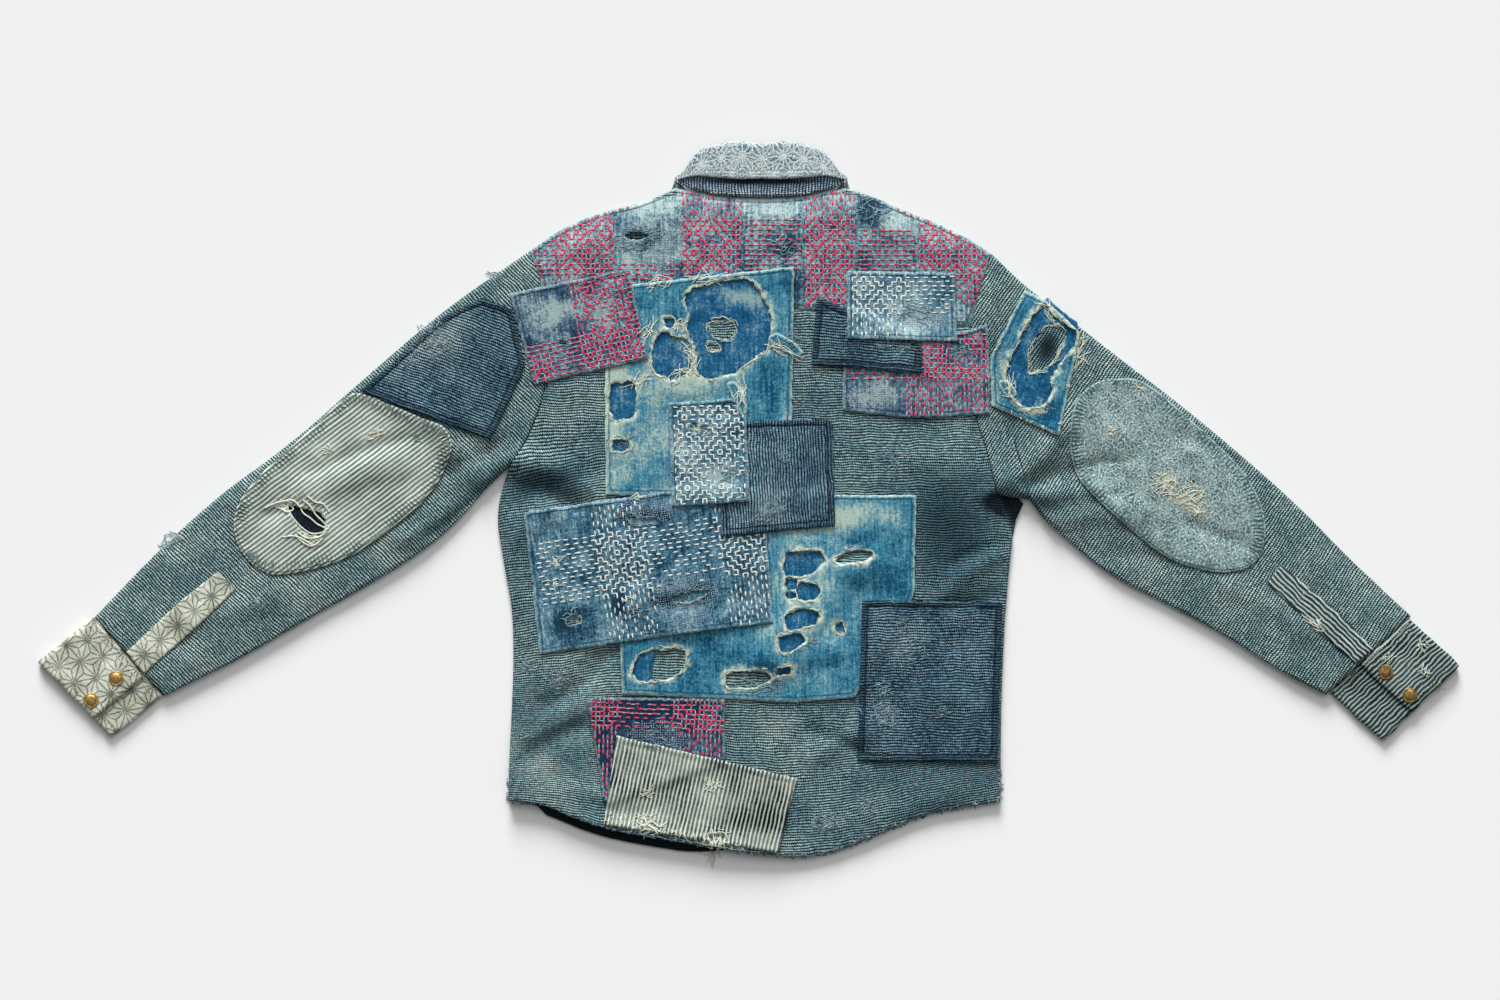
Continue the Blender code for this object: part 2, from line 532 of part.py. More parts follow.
body_top[0], body_top[-1] = left_edge[0], right_edge[0]
panel("back_body", coons(body_top, curve(HEM, len(top)), left_edge, right_edge), KNIT, "knit_blue", crown, yoke)

# Sleeves, cuffs and plackets
sleeve("sleeve_left", ARMHOLE_LEFT, SLEEVE_LEFT_UPPER, SLEEVE_LEFT_LOWER, CUFFS["left"]["seam"], -1)
sleeve("sleeve_right", ARMHOLE_RIGHT, SLEEVE_RIGHT_UPPER, SLEEVE_RIGHT_LOWER, CUFFS["right"]["seam"], 1)
for side, (upper, lower) in PLACKETS.items():
    ends = [np.linspace(upper[k], lower[k], 3) for k in (0, -1)]
    plan = coons(curve(upper, 6, False), curve(lower, 6, False), ends[0], ends[1])
    plan = plan if side == "right" else plan[:, ::-1]
    panel("placket_" + side, plan, PLACKET, "placket_" + ("cream" if side == "left" else "stripe"))
cuff("left", "cuff_cream", -1)
cuff("right", "cuff_stripe", 1)
for name, (x, y) in SNAPS.items():
    snap("snap_" + name, x, y, "brass" if "left" in name else "antique_brass")

for name in PATCHES:
    patch(name)
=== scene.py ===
"""Looks of the patched boro jacket, laid face down with its back up.

Tables are in millimetres: X runs across the back towards the wearer's right sleeve, Y towards the collar, Z = 0
is the surface. Every cloth is laid in sewing order on a grid that records how high the pile already is, so a
patch drapes over the edges of what it covers.
"""

import bmesh
import bpy
import numpy as np
from mathutils.geometry import delaunay_2d_cdt
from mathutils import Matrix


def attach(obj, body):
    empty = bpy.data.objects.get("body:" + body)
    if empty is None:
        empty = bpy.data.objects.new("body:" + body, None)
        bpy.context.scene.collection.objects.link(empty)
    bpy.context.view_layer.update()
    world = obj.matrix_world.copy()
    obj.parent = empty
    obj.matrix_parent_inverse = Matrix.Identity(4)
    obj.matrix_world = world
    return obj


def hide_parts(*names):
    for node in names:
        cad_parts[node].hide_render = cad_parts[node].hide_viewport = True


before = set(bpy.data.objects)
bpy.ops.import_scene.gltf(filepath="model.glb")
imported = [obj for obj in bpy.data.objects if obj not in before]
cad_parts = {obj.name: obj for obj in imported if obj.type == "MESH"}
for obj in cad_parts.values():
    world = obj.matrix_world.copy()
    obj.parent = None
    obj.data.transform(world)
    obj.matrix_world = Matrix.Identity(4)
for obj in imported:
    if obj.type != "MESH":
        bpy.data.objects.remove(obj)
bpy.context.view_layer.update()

MM = 0.001
LOFT = 9.6  # height of the flattened garment
KNIT = 2.3  # thickness of the knit
RIM = 5.6  # height of the back where it meets its outline
DOME = 2.4  # how much higher a sleeve is along its middle
HEM_RISE, HEM_RISE_LEFT = 3.0, 6.5  # how much higher the hem is, everywhere and more towards the left
FRONT_TOP = 4.6  # lowest level of the back's upper side over the fronts
CELL = 1.5  # spacing of the pile's grid
ROWS, COLUMNS = 490, 964
WEST, SOUTH = -722.0, -367.0  # the grid's first corner

FAR = 30.0  # a distance from an edge or a tear that counts as far away
FOLD_GAIN = 2.25  # what the heights in FOLDS are multiplied by

CENTRE = 13.0  # x of the centre back
COLLAR_MIDDLE = 5.65  # height that the collar turns about
# Collar from a front end round to the centre back: turn, then neck seam, fold and leaf edge, each as distance
# from the centre and y
COLLAR_ROWS = [
    (0, 6, 224, 8, 251, 58, 186), (0, 34, 230, 26, 257, 84, 212), (0, 60, 248, 46, 272, 100, 246),
    (0, 76, 280, 66, 296, 100, 280), (20, 80, 303, 77.5, 311, 90, 303), (90, 80.5, 316, 80.5, 321, 80.5, 317),
    (160, 78, 314, 76, 328, 78, 321), (180, 63, 309, 64, 345, 63, 323.5), (180, 40, 304, 42, 353.5, 42, 322),
    (180, 20, 302.6, 21, 356, 21, 320.5), (180, 0, 302, 0, 353.5, 0, 321),
]

# Cuffs: sleeve seam and open edge, upper then lower end, how far the lap reaches over, and where it starts below
CUFFS = {
    "left": (((-653, -117), (-584, -195)), ((-710, -161), (-635, -237)), 0.75, 0.48),
    "right": (((660, -118), (580, -192)), ((711, -165), (635, -241)), 0.62, 0.36),
}
CUFF_DEPTH = 58.0
SLEEVE_CORNERS = {  # armhole top, cuff top, cuff foot, underarm
    "left": [(-219, 248), (-653, -117), (-584, -195), (-238, 33)],
    "right": [(243, 246), (660, -118), (580, -192), (249, 5)],
}

# Folds of the upper layer: from, to, half width, height (below zero for a trough), sideways bow
FOLDS = [
    (-238, 40, -150, 6, 13, 3.0, 5), (-246, 16, -172, -6, 8, -2.2, 3), (-250, -12, -206, 26, 9, -2.0, -4),
    (-236, -40, -196, -8, 10, 1.6, 3), (-150, -168, -204, -206, 9, -2.4, 4),
    (-134, -150, -168, -170, 9, -1.5, 0), (-140, -190, -210, -232, 11, 1.3, 3),
    (-167, -226, -228, -263, 10, -2.2, -3), (-238, -286, -120, -300, 10, 1.4, 2),
    (-118, -104, -76, -80, 7, 1.6, 2), (-100, -118, -36, -128, 6, 1.5, -3), (-150, -40, -60, -90, 15, 1.0, 6),
    (-90, -120, 20, -96, 9, -1.1, 4), (28, -148, 118, -64, 13, 2.6, 8), (44, -122, 96, -80, 8, -1.6, 4),
    (10, -160, 88, -150, 9, 1.3, 3), (196, -96, 254, -48, 11, 2.4, 4), (206, -64, 262, -44, 8, -2.2, 3),
    (190, -110, 250, -92, 8, -1.6, 0), (150, 40, 250, 20, 16, 1.2, 6), (238, 6, 262, -30, 9, 2.4, 0),
    (60, -262, 122, -228, 12, 1.8, 4), (58, -230, 118, -254, 8, -1.5, 2), (180, -190, 246, -240, 14, 1.2, 6),
    (120, -320, 220, -296, 14, 1.0, -3), (-60, -318, 60, -306, 18, 0.8, 4), (250, 8, 322, 84, 11, 3.2, -6),
    (250, 2, 372, 40, 9, -2.4, 5), (252, -2, 345, 8, 9, 2.6, 3), (272, 12, 298, -30, 9, 2.6, -3),
    (300, -26, 392, -12, 10, 1.8, 4), (330, -58, 420, -60, 10, -1.2, 4), (244, 150, 262, 60, 9, -1.6, -3),
    (-262, 20, -318, 94, 12, 2.4, 5), (-240, 60, -300, 30, 9, -1.8, 3), (-268, 0, -322, -34, 9, -2.0, 3),
    (-300, -14, -352, -40, 9, 1.7, 3), (-226, 180, -256, 96, 10, -1.4, 4), (-430, 26, -330, 62, 11, -1.8, 5),
    (-448, 6, -344, 36, 10, 1.6, 4), (-488, -20, -440, -4, 9, -2.2, 3), (-470, -96, -548, -118, 12, 1.5, 3),
    (-540, 0, -470, 20, 12, 1.0, -2), (-600, -90, -560, -150, 11, -1.0, 2), (426, 64, 490, 34, 10, -1.7, 3),
    (436, -24, 506, -54, 10, -2.0, 4), (340, 76, 400, 20, 14, 1.0, 6), (470, -84, 556, -128, 12, 1.7, 4),
    (560, -20, 610, -70, 12, -1.0, 2), (596, -150, 612, -182, 7, 1.4, 0),
]

# Torn openings by piece, each a loop of points
HOLES = {
    "patch_denim_upper": [
        [(-92, 161), (-82, 167.5), (-72, 162), (-62, 161), (-55, 152), (-55, 141), (-58, 129), (-66, 122.5),
         (-76, 118.5), (-85, 124), (-93, 129), (-95.5, 141)],
        [(-63, 205), (-52, 212), (-34, 217), (-16, 220), (1, 219), (13, 206), (20.5, 191), (23, 177), (21, 163),
         (18, 150), (9, 143), (-1, 136), (-9, 130), (-19, 125), (-29, 122), (-39, 121), (-49, 124), (-52, 130),
         (-52, 142), (-54, 153), (-58, 162), (-61, 173), (-58, 183), (-62, 194)],
        [(-83, 180), (-74, 181), (-73, 173), (-82, 172)],
        [(-137.5, 115), (-126, 117.5), (-114, 117), (-112, 104), (-114, 85), (-124, 81), (-134, 80), (-138, 97)],
        [(-136, 58), (-127, 60), (-119, 58), (-119, 51), (-127, 49), (-134, 48)],
    ],
    "mend_denim_upper": [
        [(-38, 177), (-26, 180), (-14, 178), (-11, 170), (-14, 161), (-25, 160), (-36, 163), (-40, 170)],
        [(-40, 156), (-32, 157), (-27, 153), (-32, 149), (-39, 150)],
    ],
    "patch_denim_lower": [
        [(38, -54.5), (55, -51.5), (71, -52.5), (75, -62), (61, -74), (49, -76), (37, -74)],
        [(88, -57), (103, -51), (122, -51), (124, -56), (114, -61), (99, -64), (90, -62)],
        [(38, -77.5), (47.5, -79.5), (47, -89), (38.5, -90)],
        [(38, -92), (48, -93), (47, -98), (39, -97.5)],
        [(49.5, -85), (59, -82.5), (70, -85), (71, -95), (63, -100), (51, -99)],
        [(39, -114), (53, -109), (70, -112), (68, -122), (55, -127.5), (39, -129)],
        [(30, -137), (49, -133), (57, -141), (47, -148.5), (36, -152), (30, -144.5)],
        [(88, -123.5), (95, -121.5), (95, -133), (88, -132)],
        [(28.5, -169.5), (41, -166.5), (40.5, -174), (30, -175)],
        [(-21, -175), (-9, -171), (19, -173), (21.5, -181), (7, -187), (-7, -187.5), (-21, -187)],
        [(-115, -167), (-105, -153), (-85, -149), (-65, -149), (-62, -159), (-68, -173), (-85, -179),
         (-105, -181), (-113, -175)],
    ],
    "sleeve_patch_denim_right": [
        [(298, 196), (304, 184), (319, 175), (327, 170), (328, 164), (325, 153), (310, 135), (302, 118),
         (302, 109), (296, 98), (281, 91), (269, 98), (262, 109), (258, 123), (259.5, 134), (270, 157), (278, 175),
         (290, 190)],
    ],
    "mend_denim_sleeve": [
        [(304, 175), (317, 169), (317, 160), (304, 138), (289, 128), (278, 129), (283, 154), (292, 169)],
    ],
    "elbow_patch_left": [
        [(-460, -6), (-452, -5), (-444, -8), (-437, -10), (-430, -11), (-423, -17), (-421, -25), (-424, -33),
         (-432, -36), (-440, -33), (-449, -27), (-456, -17)],
    ],
    "elbow_patch_right": [
        [(421, 17), (425, 18), (425, 14), (421, 14)],
        [(441, 19.5), (445, 20), (446, 16), (441.5, 15.5)],
    ],
    "patch_white_centre": [
        [(-59, 74), (-52, 76), (-51, 69), (-57, 67)],
        [(-47, 73), (-40, 74), (-38, 69.5), (-43, 67)],
    ],
    "patch_sashiko_large": [
        [(-120, -16), (-104, -19), (-92, -17), (-90, -22), (-104, -24), (-117, -22)],
        [(-76, -97), (-62, -92), (-46, -90), (-40, -92), (-52, -100), (-68, -102)],
        [(-182, -119), (-173, -115), (-167, -119), (-171, -124), (-180, -125)],
    ],
    "patch_stripe": [
        [(-38, -335), (-30, -333), (-23, -335), (-22, -341), (-30, -343.5), (-38, -341)],
    ],
    "back_yoke": [
        [(-122, 264), (-113, 268), (-104, 267), (-98, 263), (-107, 260), (-116, 260)],
    ],
    "patch_red_left": [
        [(-190, 158), (-184, 160), (-181, 155), (-187, 152)],
    ],
}

# Cloths that only show through the tears above, laid just before the patch named last
MENDS = {
    "mend_denim_upper": ([(-143, 123), (-139, 78), (-143, 40), (-112, 40), (-106, 78), (-100, 110), (-60, 108),
                          (10, 118), (32, 150), (32, 190), (20, 216), (-30, 228), (-72, 222), (-98, 196),
                          (-104, 168), (-108, 128)], "patch_denim_upper"),
    "mend_denim_lower": ([(28, -45), (84, -44), (80, -104), (104, -116), (102, -140), (64, -140), (60, -156),
                          (50, -182), (22, -182), (22, -126), (28, -118)], "patch_denim_lower"),
    "mend_denim_left": ([(-121, -144), (-92, -144), (-97, -186), (-121, -186)], "patch_denim_lower"),
    "mend_denim_sleeve": ([(299, 202), (318, 185), (329, 178), (329, 150), (316, 120), (308, 86), (284, 82),
                           (256, 96), (252, 126), (262, 150), (276, 184)], "sleeve_patch_denim_right"),
    "mend_elbow": ([(-466, -2), (-448, -2), (-420, -8), (-416, -36), (-436, -38), (-460, -24)],
                   "elbow_patch_left"),
}

# Torn strips of denim that lie beside the openings they come from
FLAPS = {
    "flap_denim_right": [(20, 160), (28, 167), (38, 162), (49, 155), (55, 147), (48, 143), (38, 148), (26, 152)],
    "flap_denim_low": [(-21, 116), (-13, 118), (-7, 110), (-3, 100), (-1, 88), (-7, 85), (-12, 95), (-17, 104)],
    "flap_denim_sleeve": [(250, 118), (259, 119), (267, 110), (266, 103), (256, 104)],
}

# Cloths laid on the back in sewing order: material, slot, thickness, turn of the weave, height of the turned hem
CLOTHS = {
    "elbow_patch_left": ("green stripe", "cotton_green", 1.3, -53, 0.35),
    "elbow_patch_right": ("grey leaf", "cotton_blue", 1.3, 24, 0.35),
    "sleeve_patch_knit_left": ("dark knit", "knit_indigo", 2.0, -21, 1.1),
    "sleeve_patch_denim_right": ("denim", "denim", 1.9, -22, 0.4),
    "patch_denim_upper": ("denim", "denim", 2.0, 0, 0.5),
    "patch_red_left": ("rose ground", "sashiko_red", 1.6, 11.9, 0.9),
    "patch_denim_lower": ("denim", "denim", 2.0, 1, 0.5),
    "patch_sashiko_large": ("blue ground", "sashiko_white", 1.6, 8.2, 0.9),
    "patch_knit_centre": ("ribbed knit", "knit_indigo", 2.1, 93, 1.0),
    "patch_white_centre": ("blue ground", "sashiko_white", 1.5, 2, 0.8),
    "patch_knit_lower": ("dark knit", "knit_indigo", 2.1, 0, 1.2),
    "patch_red_bottom": ("rose ground", "sashiko_red", 1.5, -2, 0.8),
    "patch_stripe": ("hickory", "stripe", 1.6, -13, 0.8),
    "patch_pink": ("rose ground", "sashiko_red", 1.5, 0, 0.8),
    "patch_knit_shoulder": ("dark knit", "knit_indigo", 2.1, -4, 1.1),
    "patch_white_shoulder": ("blue ground", "sashiko_white", 1.5, 0, 0.8),
}

# Faded spots and painted shade: x, y, half length, half width, turn, amount. Above zero the cloth is faded paler;
# below zero it is darker. On the back body, the sleeves, the collar stand, the left cuff's lap and the yoke's holes
# and the large sashiko patch's holes, that darkening is painted shade. Elsewhere it is a deeper tone of the cloth.
FADE_AND_SHADE = {
    # The back body's amounts below zero are painted shade: creases, the dark band under the left sleeve, the right
    # armpit's hollow, the lower back and the sides, which turn from the light.
    "back_body": [(-80, -300, 130, 40, -6, 0.05), (200, -20, 70, 90, 0, -0.7), (205, -290, 90, 50, 12, -0.4),
        (-190, 24, 50, 18, 14, -0.75), (-100, -215, 120, 7, 4, -0.4), (40, -262, 90, 12, -6, 0.3),
        (150, 86, 50, 9, -6, -0.4), (-228, 110, 12, 40, 10, 0.35), (214, -110, 40, 9, 24, -0.6),
        (210, 60, 26, 40, 0, 0.25), (-226, -90, 16, 70, 0, -0.25), (-20, -252, 120, 8, -8, -0.35),
        (256, -6, 14, 7, -25, -2.6), (-208, -267, 30, 14, -10, 0.35), (20, -225, 46, 14, 0, 0.25),
        (0, -290, 90, 24, 0, -0.15), (142, 40, 46, 24, 0, 0.35), (-190, -150, 50, 60, 0, 0.1),
        (-120, -205, 90, 14, -8, -0.3), (90, -200, 60, 16, -16, -0.3), (-160, 60, 40, 40, 0, 0.2),
        (230, 120, 40, 60, 0, 0.15), (-225, -20, 20, 30, 0, -0.3)],
    # Painted shadow of the collar's fall on the stand
    "collar_stand": [(13, 319, 70, 4, 0, -1.3)],
    "collar_fall": [(13, 324, 80, 3.5, 0, 0.5), (13, 342, 70, 8, 0, -0.25)],
    # The yoke's small dark spots are painted shade that stands for holes
    "back_yoke": [(122, 291, 11, 15, 0, -1.3), (37, 252, 10, 9, 0, -1.2), (-14, 263, 8, 3, 0, -0.8),
        (-104, 256, 14, 4, 15, -0.7), (-100, 296, 34, 14, 0, 0.5), (26, 292, 34, 14, 0, 0.5),
        (-100, 257, 32, 24, 0, 0.35), (150, 282, 26, 15, 0, 0.5), (0, 305, 120, 10, 0, 0.3),
        (60, 215, 60, 14, 0, -0.15), (-190, 260, 40, 30, 0, 0.1)],
    # The sleeves' amounts below zero are painted shade: at the underarms, towards the cuffs and in the hole over the
    # right sleeve.
    "sleeve_left": [(-560, -60, 60, 40, 37, 0.12), (-300, 150, 60, 30, 37, -0.2), (-440, -100, 80, 20, 37, 0.2),
        (-260, 20, 40, 20, 37, -0.5), (-640, -150, 30, 40, 37, -0.2)],
    "sleeve_right": [(299, 152, 15, 24, -20, -1.1), (380, 60, 120, 60, -37, 0.15),
        (560, -60, 60, 40, -37, -0.1), (290, 0, 40, 14, -20, -0.6), (300, 160, 30, 60, 0, 0.1),
        (600, -150, 40, 30, -37, -0.25)],
    "patch_denim_upper": [(-50, 205, 90, 10, 0, -0.1), (-134, 110, 12, 100, 0, 0.55), (-90, 60, 40, 60, 0, 0.2),
        (0, 215, 60, 8, 0, -0.15), (36, 60, 10, 60, 0, 0.3), (-70, 120, 60, 20, 0, 0.4),
        (24, 112, 26, 26, 0, -0.25), (-30, 12, 80, 10, 0, 0.0)],
    "patch_denim_lower": [(124, -60, 40, 40, 0, -0.2), (80, -20, 60, 14, 0, 0.2), (-70, -165, 80, 26, 0, -0.2),
        (80, -16, 80, 13, 0, 0.4), (20, -165, 50, 20, 0, -0.1), (56, -95, 34, 60, 0, 0.3),
        (-126, -180, 14, 20, 0, 0.1)],
    "mend_denim_upper": [(-2, 200, 28, 9, -8, 0.55), (-62, 152, 9, 12, 0, 0.35), (-126, 110, 6, 12, 0, 0.2)],
    "sleeve_patch_denim_right": [(280, 150, 36, 60, 0, -0.15), (252, 110, 9, 30, 0, 0.2),
        (300, 92, 26, 16, 0, -0.35)],
    "sleeve_patch_knit_left": [(-310, 158, 44, 24, 25, 0.55), (-250, 130, 30, 40, 0, -0.1),
        (-370, 100, 30, 16, 37, 0.2)],
    "patch_knit_lower": [(180, -180, 120, 100, 0, -0.12), (160, -140, 36, 34, 0, 0.35),
        (225, -230, 40, 40, 0, -0.15), (136, -215, 20, 34, 0, 0.25)],
    "patch_knit_centre": [(22, -10, 36, 20, 35, 0.4), (-22, 20, 8, 60, 0, 0.35), (70, 50, 20, 40, 0, -0.2)],
    "patch_knit_shoulder": [(100, 150, 30, 24, 0, -0.1)],
    # The large sashiko patch's strong dark spots are painted shade in and beside its holes
    "patch_sashiko_large": [(-190, -35, 36, 24, 8, 0.1), (-180, -100, 40, 14, 8, 0.1),
        (-100, -60, 50, 40, 0, -0.1), (-80, -118, 40, 20, 0, 0.1), (-104, -18, 22, 6, 5, -0.9),
        (-60, -96, 24, 6, 12, -0.9), (-177, -119, 16, 8, 30, -1.0), (-128, -104, 14, 5, 60, -0.6)],
    "patch_white_centre": [(-25, 25, 20, 16, 0, 0.5), (-60, 50, 20, 30, 0, 0.25)],
    "patch_white_shoulder": [(180, 175, 30, 20, 0, 0.35), (140, 195, 36, 26, 0, 0.3)],
    "patch_red_left": [(-202, 188, 28, 18, 12, 0.6), (-182, 204, 24, 6, 12, -0.35),
        (-146, 190, 20, 20, 12, 0.4)],
    "patch_red_bottom": [(-90, -240, 34, 14, 0, 0.2), (-90, -220, 70, 60, 0, -0.45),
        (-60, -205, 60, 8, 0, -0.3), (-150, -250, 10, 60, 0, -0.3)],
    "patch_pink": [(125, 105, 28, 14, 0, 0.5), (180, 150, 40, 14, 0, 0.0), (200, 110, 30, 20, 0, 0.15)],
    "patch_stripe": [(-40, -285, 16, 24, 0, 0.15), (0, -300, 40, 40, 0, -0.2)],
    "elbow_patch_left": [(-420, 20, 90, 60, 37, 0.1), (-420, 50, 12, 10, 0, 0.6), (-373, 65, 16, 8, 20, 0.6),
        (-440, -20, 40, 24, 10, 0.2), (-380, 20, 50, 12, 30, -0.25)],
    "elbow_patch_right": [(363, 68, 9, 10, 0, 0.7), (392, 111, 12, 8, 0, 0.7), (430, 10, 40, 24, -20, 0.25),
        (470, 40, 50, 14, -40, -0.25), (400, -20, 50, 14, -40, -0.2)],
    # Below zero on the left cuff: painted shade under its lap
    "cuff_left": [(-660, -180, 30, 20, -48, 0.15), (-618, -204, 34, 9, 42, -0.5)],
    "cuff_right": [(640, -170, 90, 60, 0, -0.15), (650, -170, 20, 14, 40, 0.35), (620, -190, 20, 14, 0, -0.2)],
}

# Fuzzy, worn-through spots: x, y, half length, half width, turn, amount
WORN = {
    "elbow_patch_right": [(363, 68, 9, 8, 0, 0.8), (416, 24, 16, 7, -20, 0.75), (430, 2, 20, 10, -25, 0.8),
        (450, -12, 14, 8, -20, 0.8), (390, 111, 12, 8, 0, 0.7), (400, 40, 80, 40, -37, 0.15)],
    "elbow_patch_left": [(-420, 50, 8, 8, 0, 0.8), (-373, 65, 14, 6, 10, 0.8), (-452, 2, 26, 6, 25, 0.7),
        (-440, -42, 22, 6, -10, 0.7)],
    "back_body": [(-185, -183, 24, 24, 20, 0.75), (-220, -167, 14, 8, 0, 0.7), (-222, -234, 10, 6, 0, 0.7),
        (77, -323, 26, 10, 8, 0.75), (119, -305, 15, 12, 0, 0.6), (167, -284, 8, 7, 0, 0.6),
        (-208, -267, 30, 14, -8, 0.45), (20, -225, 36, 20, 0, 0.4), (-60, -300, 70, 20, -6, 0.35)],
    "back_yoke": [(123, 289, 16, 20, 0, 0.55), (37, 254, 14, 14, 0, 0.5), (-115, 263, 16, 8, 0, 0.6)],
    "sleeve_left": [(-254, 225, 12, 8, 0, 0.7), (-576, -40, 20, 9, 37, 0.75), (-489, -105, 14, 9, 37, 0.7),
        (-330, 60, 14, 8, 0, 0.3)],
    "sleeve_right": [(350, -40, 20, 10, -37, 0.35), (540, 0, 16, 8, -37, 0.35)],
    "patch_denim_upper": [(41, 156, 15, 12, 0, 0.5), (-7, 102, 8, 16, 0, 0.8), (-67, 172, 8, 8, 0, 0.7),
        (-120, 60, 16, 40, 0, 0.35), (-40, 112, 50, 12, 0, 0.4)],
    "patch_denim_lower": [(60, -95, 36, 50, 0, 0.3), (-90, -160, 30, 14, 0, 0.4), (0, -180, 30, 10, 0, 0.35)],
    "sleeve_patch_denim_right": [(290, 120, 26, 50, 0, 0.2), (255, 128, 7, 36, 12, 0.85),
        (288, 88, 22, 7, 10, 0.8), (322, 165, 7, 22, -20, 0.85), (306, 192, 12, 8, 40, 0.8)],
    "sleeve_patch_knit_left": [(-310, 158, 34, 22, 25, 0.75), (-350, 118, 14, 10, 0, 0.4)],
    "patch_knit_lower": [(160, -140, 33, 32, 0, 0.55), (136, -215, 15, 30, 0, 0.65),
        (195, -212, 12, 8, 0, 0.6)],
    "patch_knit_centre": [(22, -10, 32, 14, 35, 0.6), (35, 43, 8, 10, 0, 0.6)],
    "patch_sashiko_large": [(-104, -20, 16, 5, 5, 0.6), (-58, -96, 18, 7, 15, 0.7),
        (-174, -120, 12, 6, 0, 0.6)],
    "patch_white_centre": [(-25, 25, 18, 14, 0, 0.5), (-50, 70, 16, 6, 0, 0.6)],
    "patch_red_bottom": [(-90, -236, 34, 16, 0, 0.35)],
    "patch_stripe": [(-101, -290, 10, 6, 0, 0.7), (-37, -285, 7, 15, 0, 0.5), (-99, -323, 12, 13, 0, 0.8),
        (-30, -338, 14, 8, 0, 0.6)],
    "patch_white_shoulder": [(150, 185, 20, 14, 0, 0.3)],
    "cuff_left": [(-673, -172, 4, 4, 0, 0.6)],
    "cuff_right": [(640, -160, 10, 6, 40, 0.5), (690, -190, 8, 6, 40, 0.4)],
}

# Sashiko in crossing bands: first corner, turn, first line, distance between upright and between level lines,
# then bands of upright lines and bands of level lines (from, down from, to, down to)
SASHIKO = {
    "back_yoke": ((-248, 300), 0, (3.6, -3.6), 4.38, 4.88,
                  [(55, 8, 117, 104), (179, -16, 241, 104), (302, -14, 356, 130), (418, 2, 492, 104)],
                  [(28, 20, 117, 76), (117, 64, 179, 92), (179, 20, 241, 90), (241, 20, 302, 72), (302, 20, 356, 104),
                   (356, 28, 418, 74), (418, 14, 492, 84)]),
    "patch_red_left": ((-238, 206), 11.9, (0, 0), 4.3, 4.7, [(60, 0, 124, 98), (0, 62, 30, 98)],
                       [(2, 52, 124, 98), (66, 4, 124, 52)]),
    "patch_red_bottom": ((-161, -197), -2, (1, 0), 4.3, 4.6, [(0, 0, 34, 108), (84, 0, 142, 68)], [(0, 2, 142, 32)]),
    "patch_pink": ((96, 166), 0, (2, 1), 4.36, 4.8, [(62, 0, 150, 90)], [(0, 0, 150, 48)]),
    "patch_sashiko_large": ((-224, -12), 8.6, (0.8, 1.6), 4.4, 4.62, [(64, 2, 119, 154), (186, 2, 252, 154)],
                            [(4, 30, 252, 95)]),
    "patch_white_centre": ((-79, 97), 2, (0, 0), 4.3, 4.4, [(3, 3, 80, 106)], [(3, 3, 80, 106)]),
    "patch_white_shoulder": ((99, 229), 0, (1, 2), 4.4, 4.5, [(3, 2, 62, 68)], [(3, 2, 110, 46)]),
}
THREAD_WORN = {
    "back_yoke": [(-100, 256, 30, 22, 0, 0.95), (123, 285, 14, 18, 0, 1.0), (37, 254, 11, 11, 0, 1.0),
        (-34, 262, 10, 5, 0, 0.6)],
    "patch_red_left": [(-146, 190, 22, 18, 12, 0.6)],
    "patch_red_bottom": [(-92, -240, 38, 22, 0, 0.75)],
    "patch_pink": [(125, 105, 26, 12, 0, 0.8), (212, 148, 10, 9, 0, 0.8)],
    "patch_sashiko_large": [(-104, -20, 22, 9, 8, 1.2), (-60, -92, 36, 24, 10, 1.2), (-190, -58, 10, 8, 0, 0.9),
        (-196, -82, 12, 5, 0, 0.7), (-110, -118, 14, 8, 0, 0.6)],
    "patch_white_centre": [(-22, 24, 16, 12, 0, 1.0), (-50, 70, 14, 7, 0, 0.9)],
    "patch_white_shoulder": [(166, 182, 22, 14, 0, 0.8)],
}

DARN = 2.3  # distance between two stitches of the darning
# Darning in short close stitches: cloth, x, y, half length, half width, turn
DARNED = [
    ("back_yoke", -100, 257, 33, 25, 0), ("patch_red_left", -146, 190, 23, 20, 12),
    ("patch_pink", 124, 103, 27, 13, 0), ("patch_red_bottom", -90, -240, 32, 22, 0),
    ("patch_white_shoulder", 166, 178, 34, 14, 0), ("patch_sashiko_large", -62, -98, 34, 32, 8),
    ("patch_sashiko_large", -104, -12, 30, 16, 8), ("patch_denim_lower", 10, -186, 30, 12, 0),
    ("patch_denim_upper", -28, 40, 4, 30, 0),
]

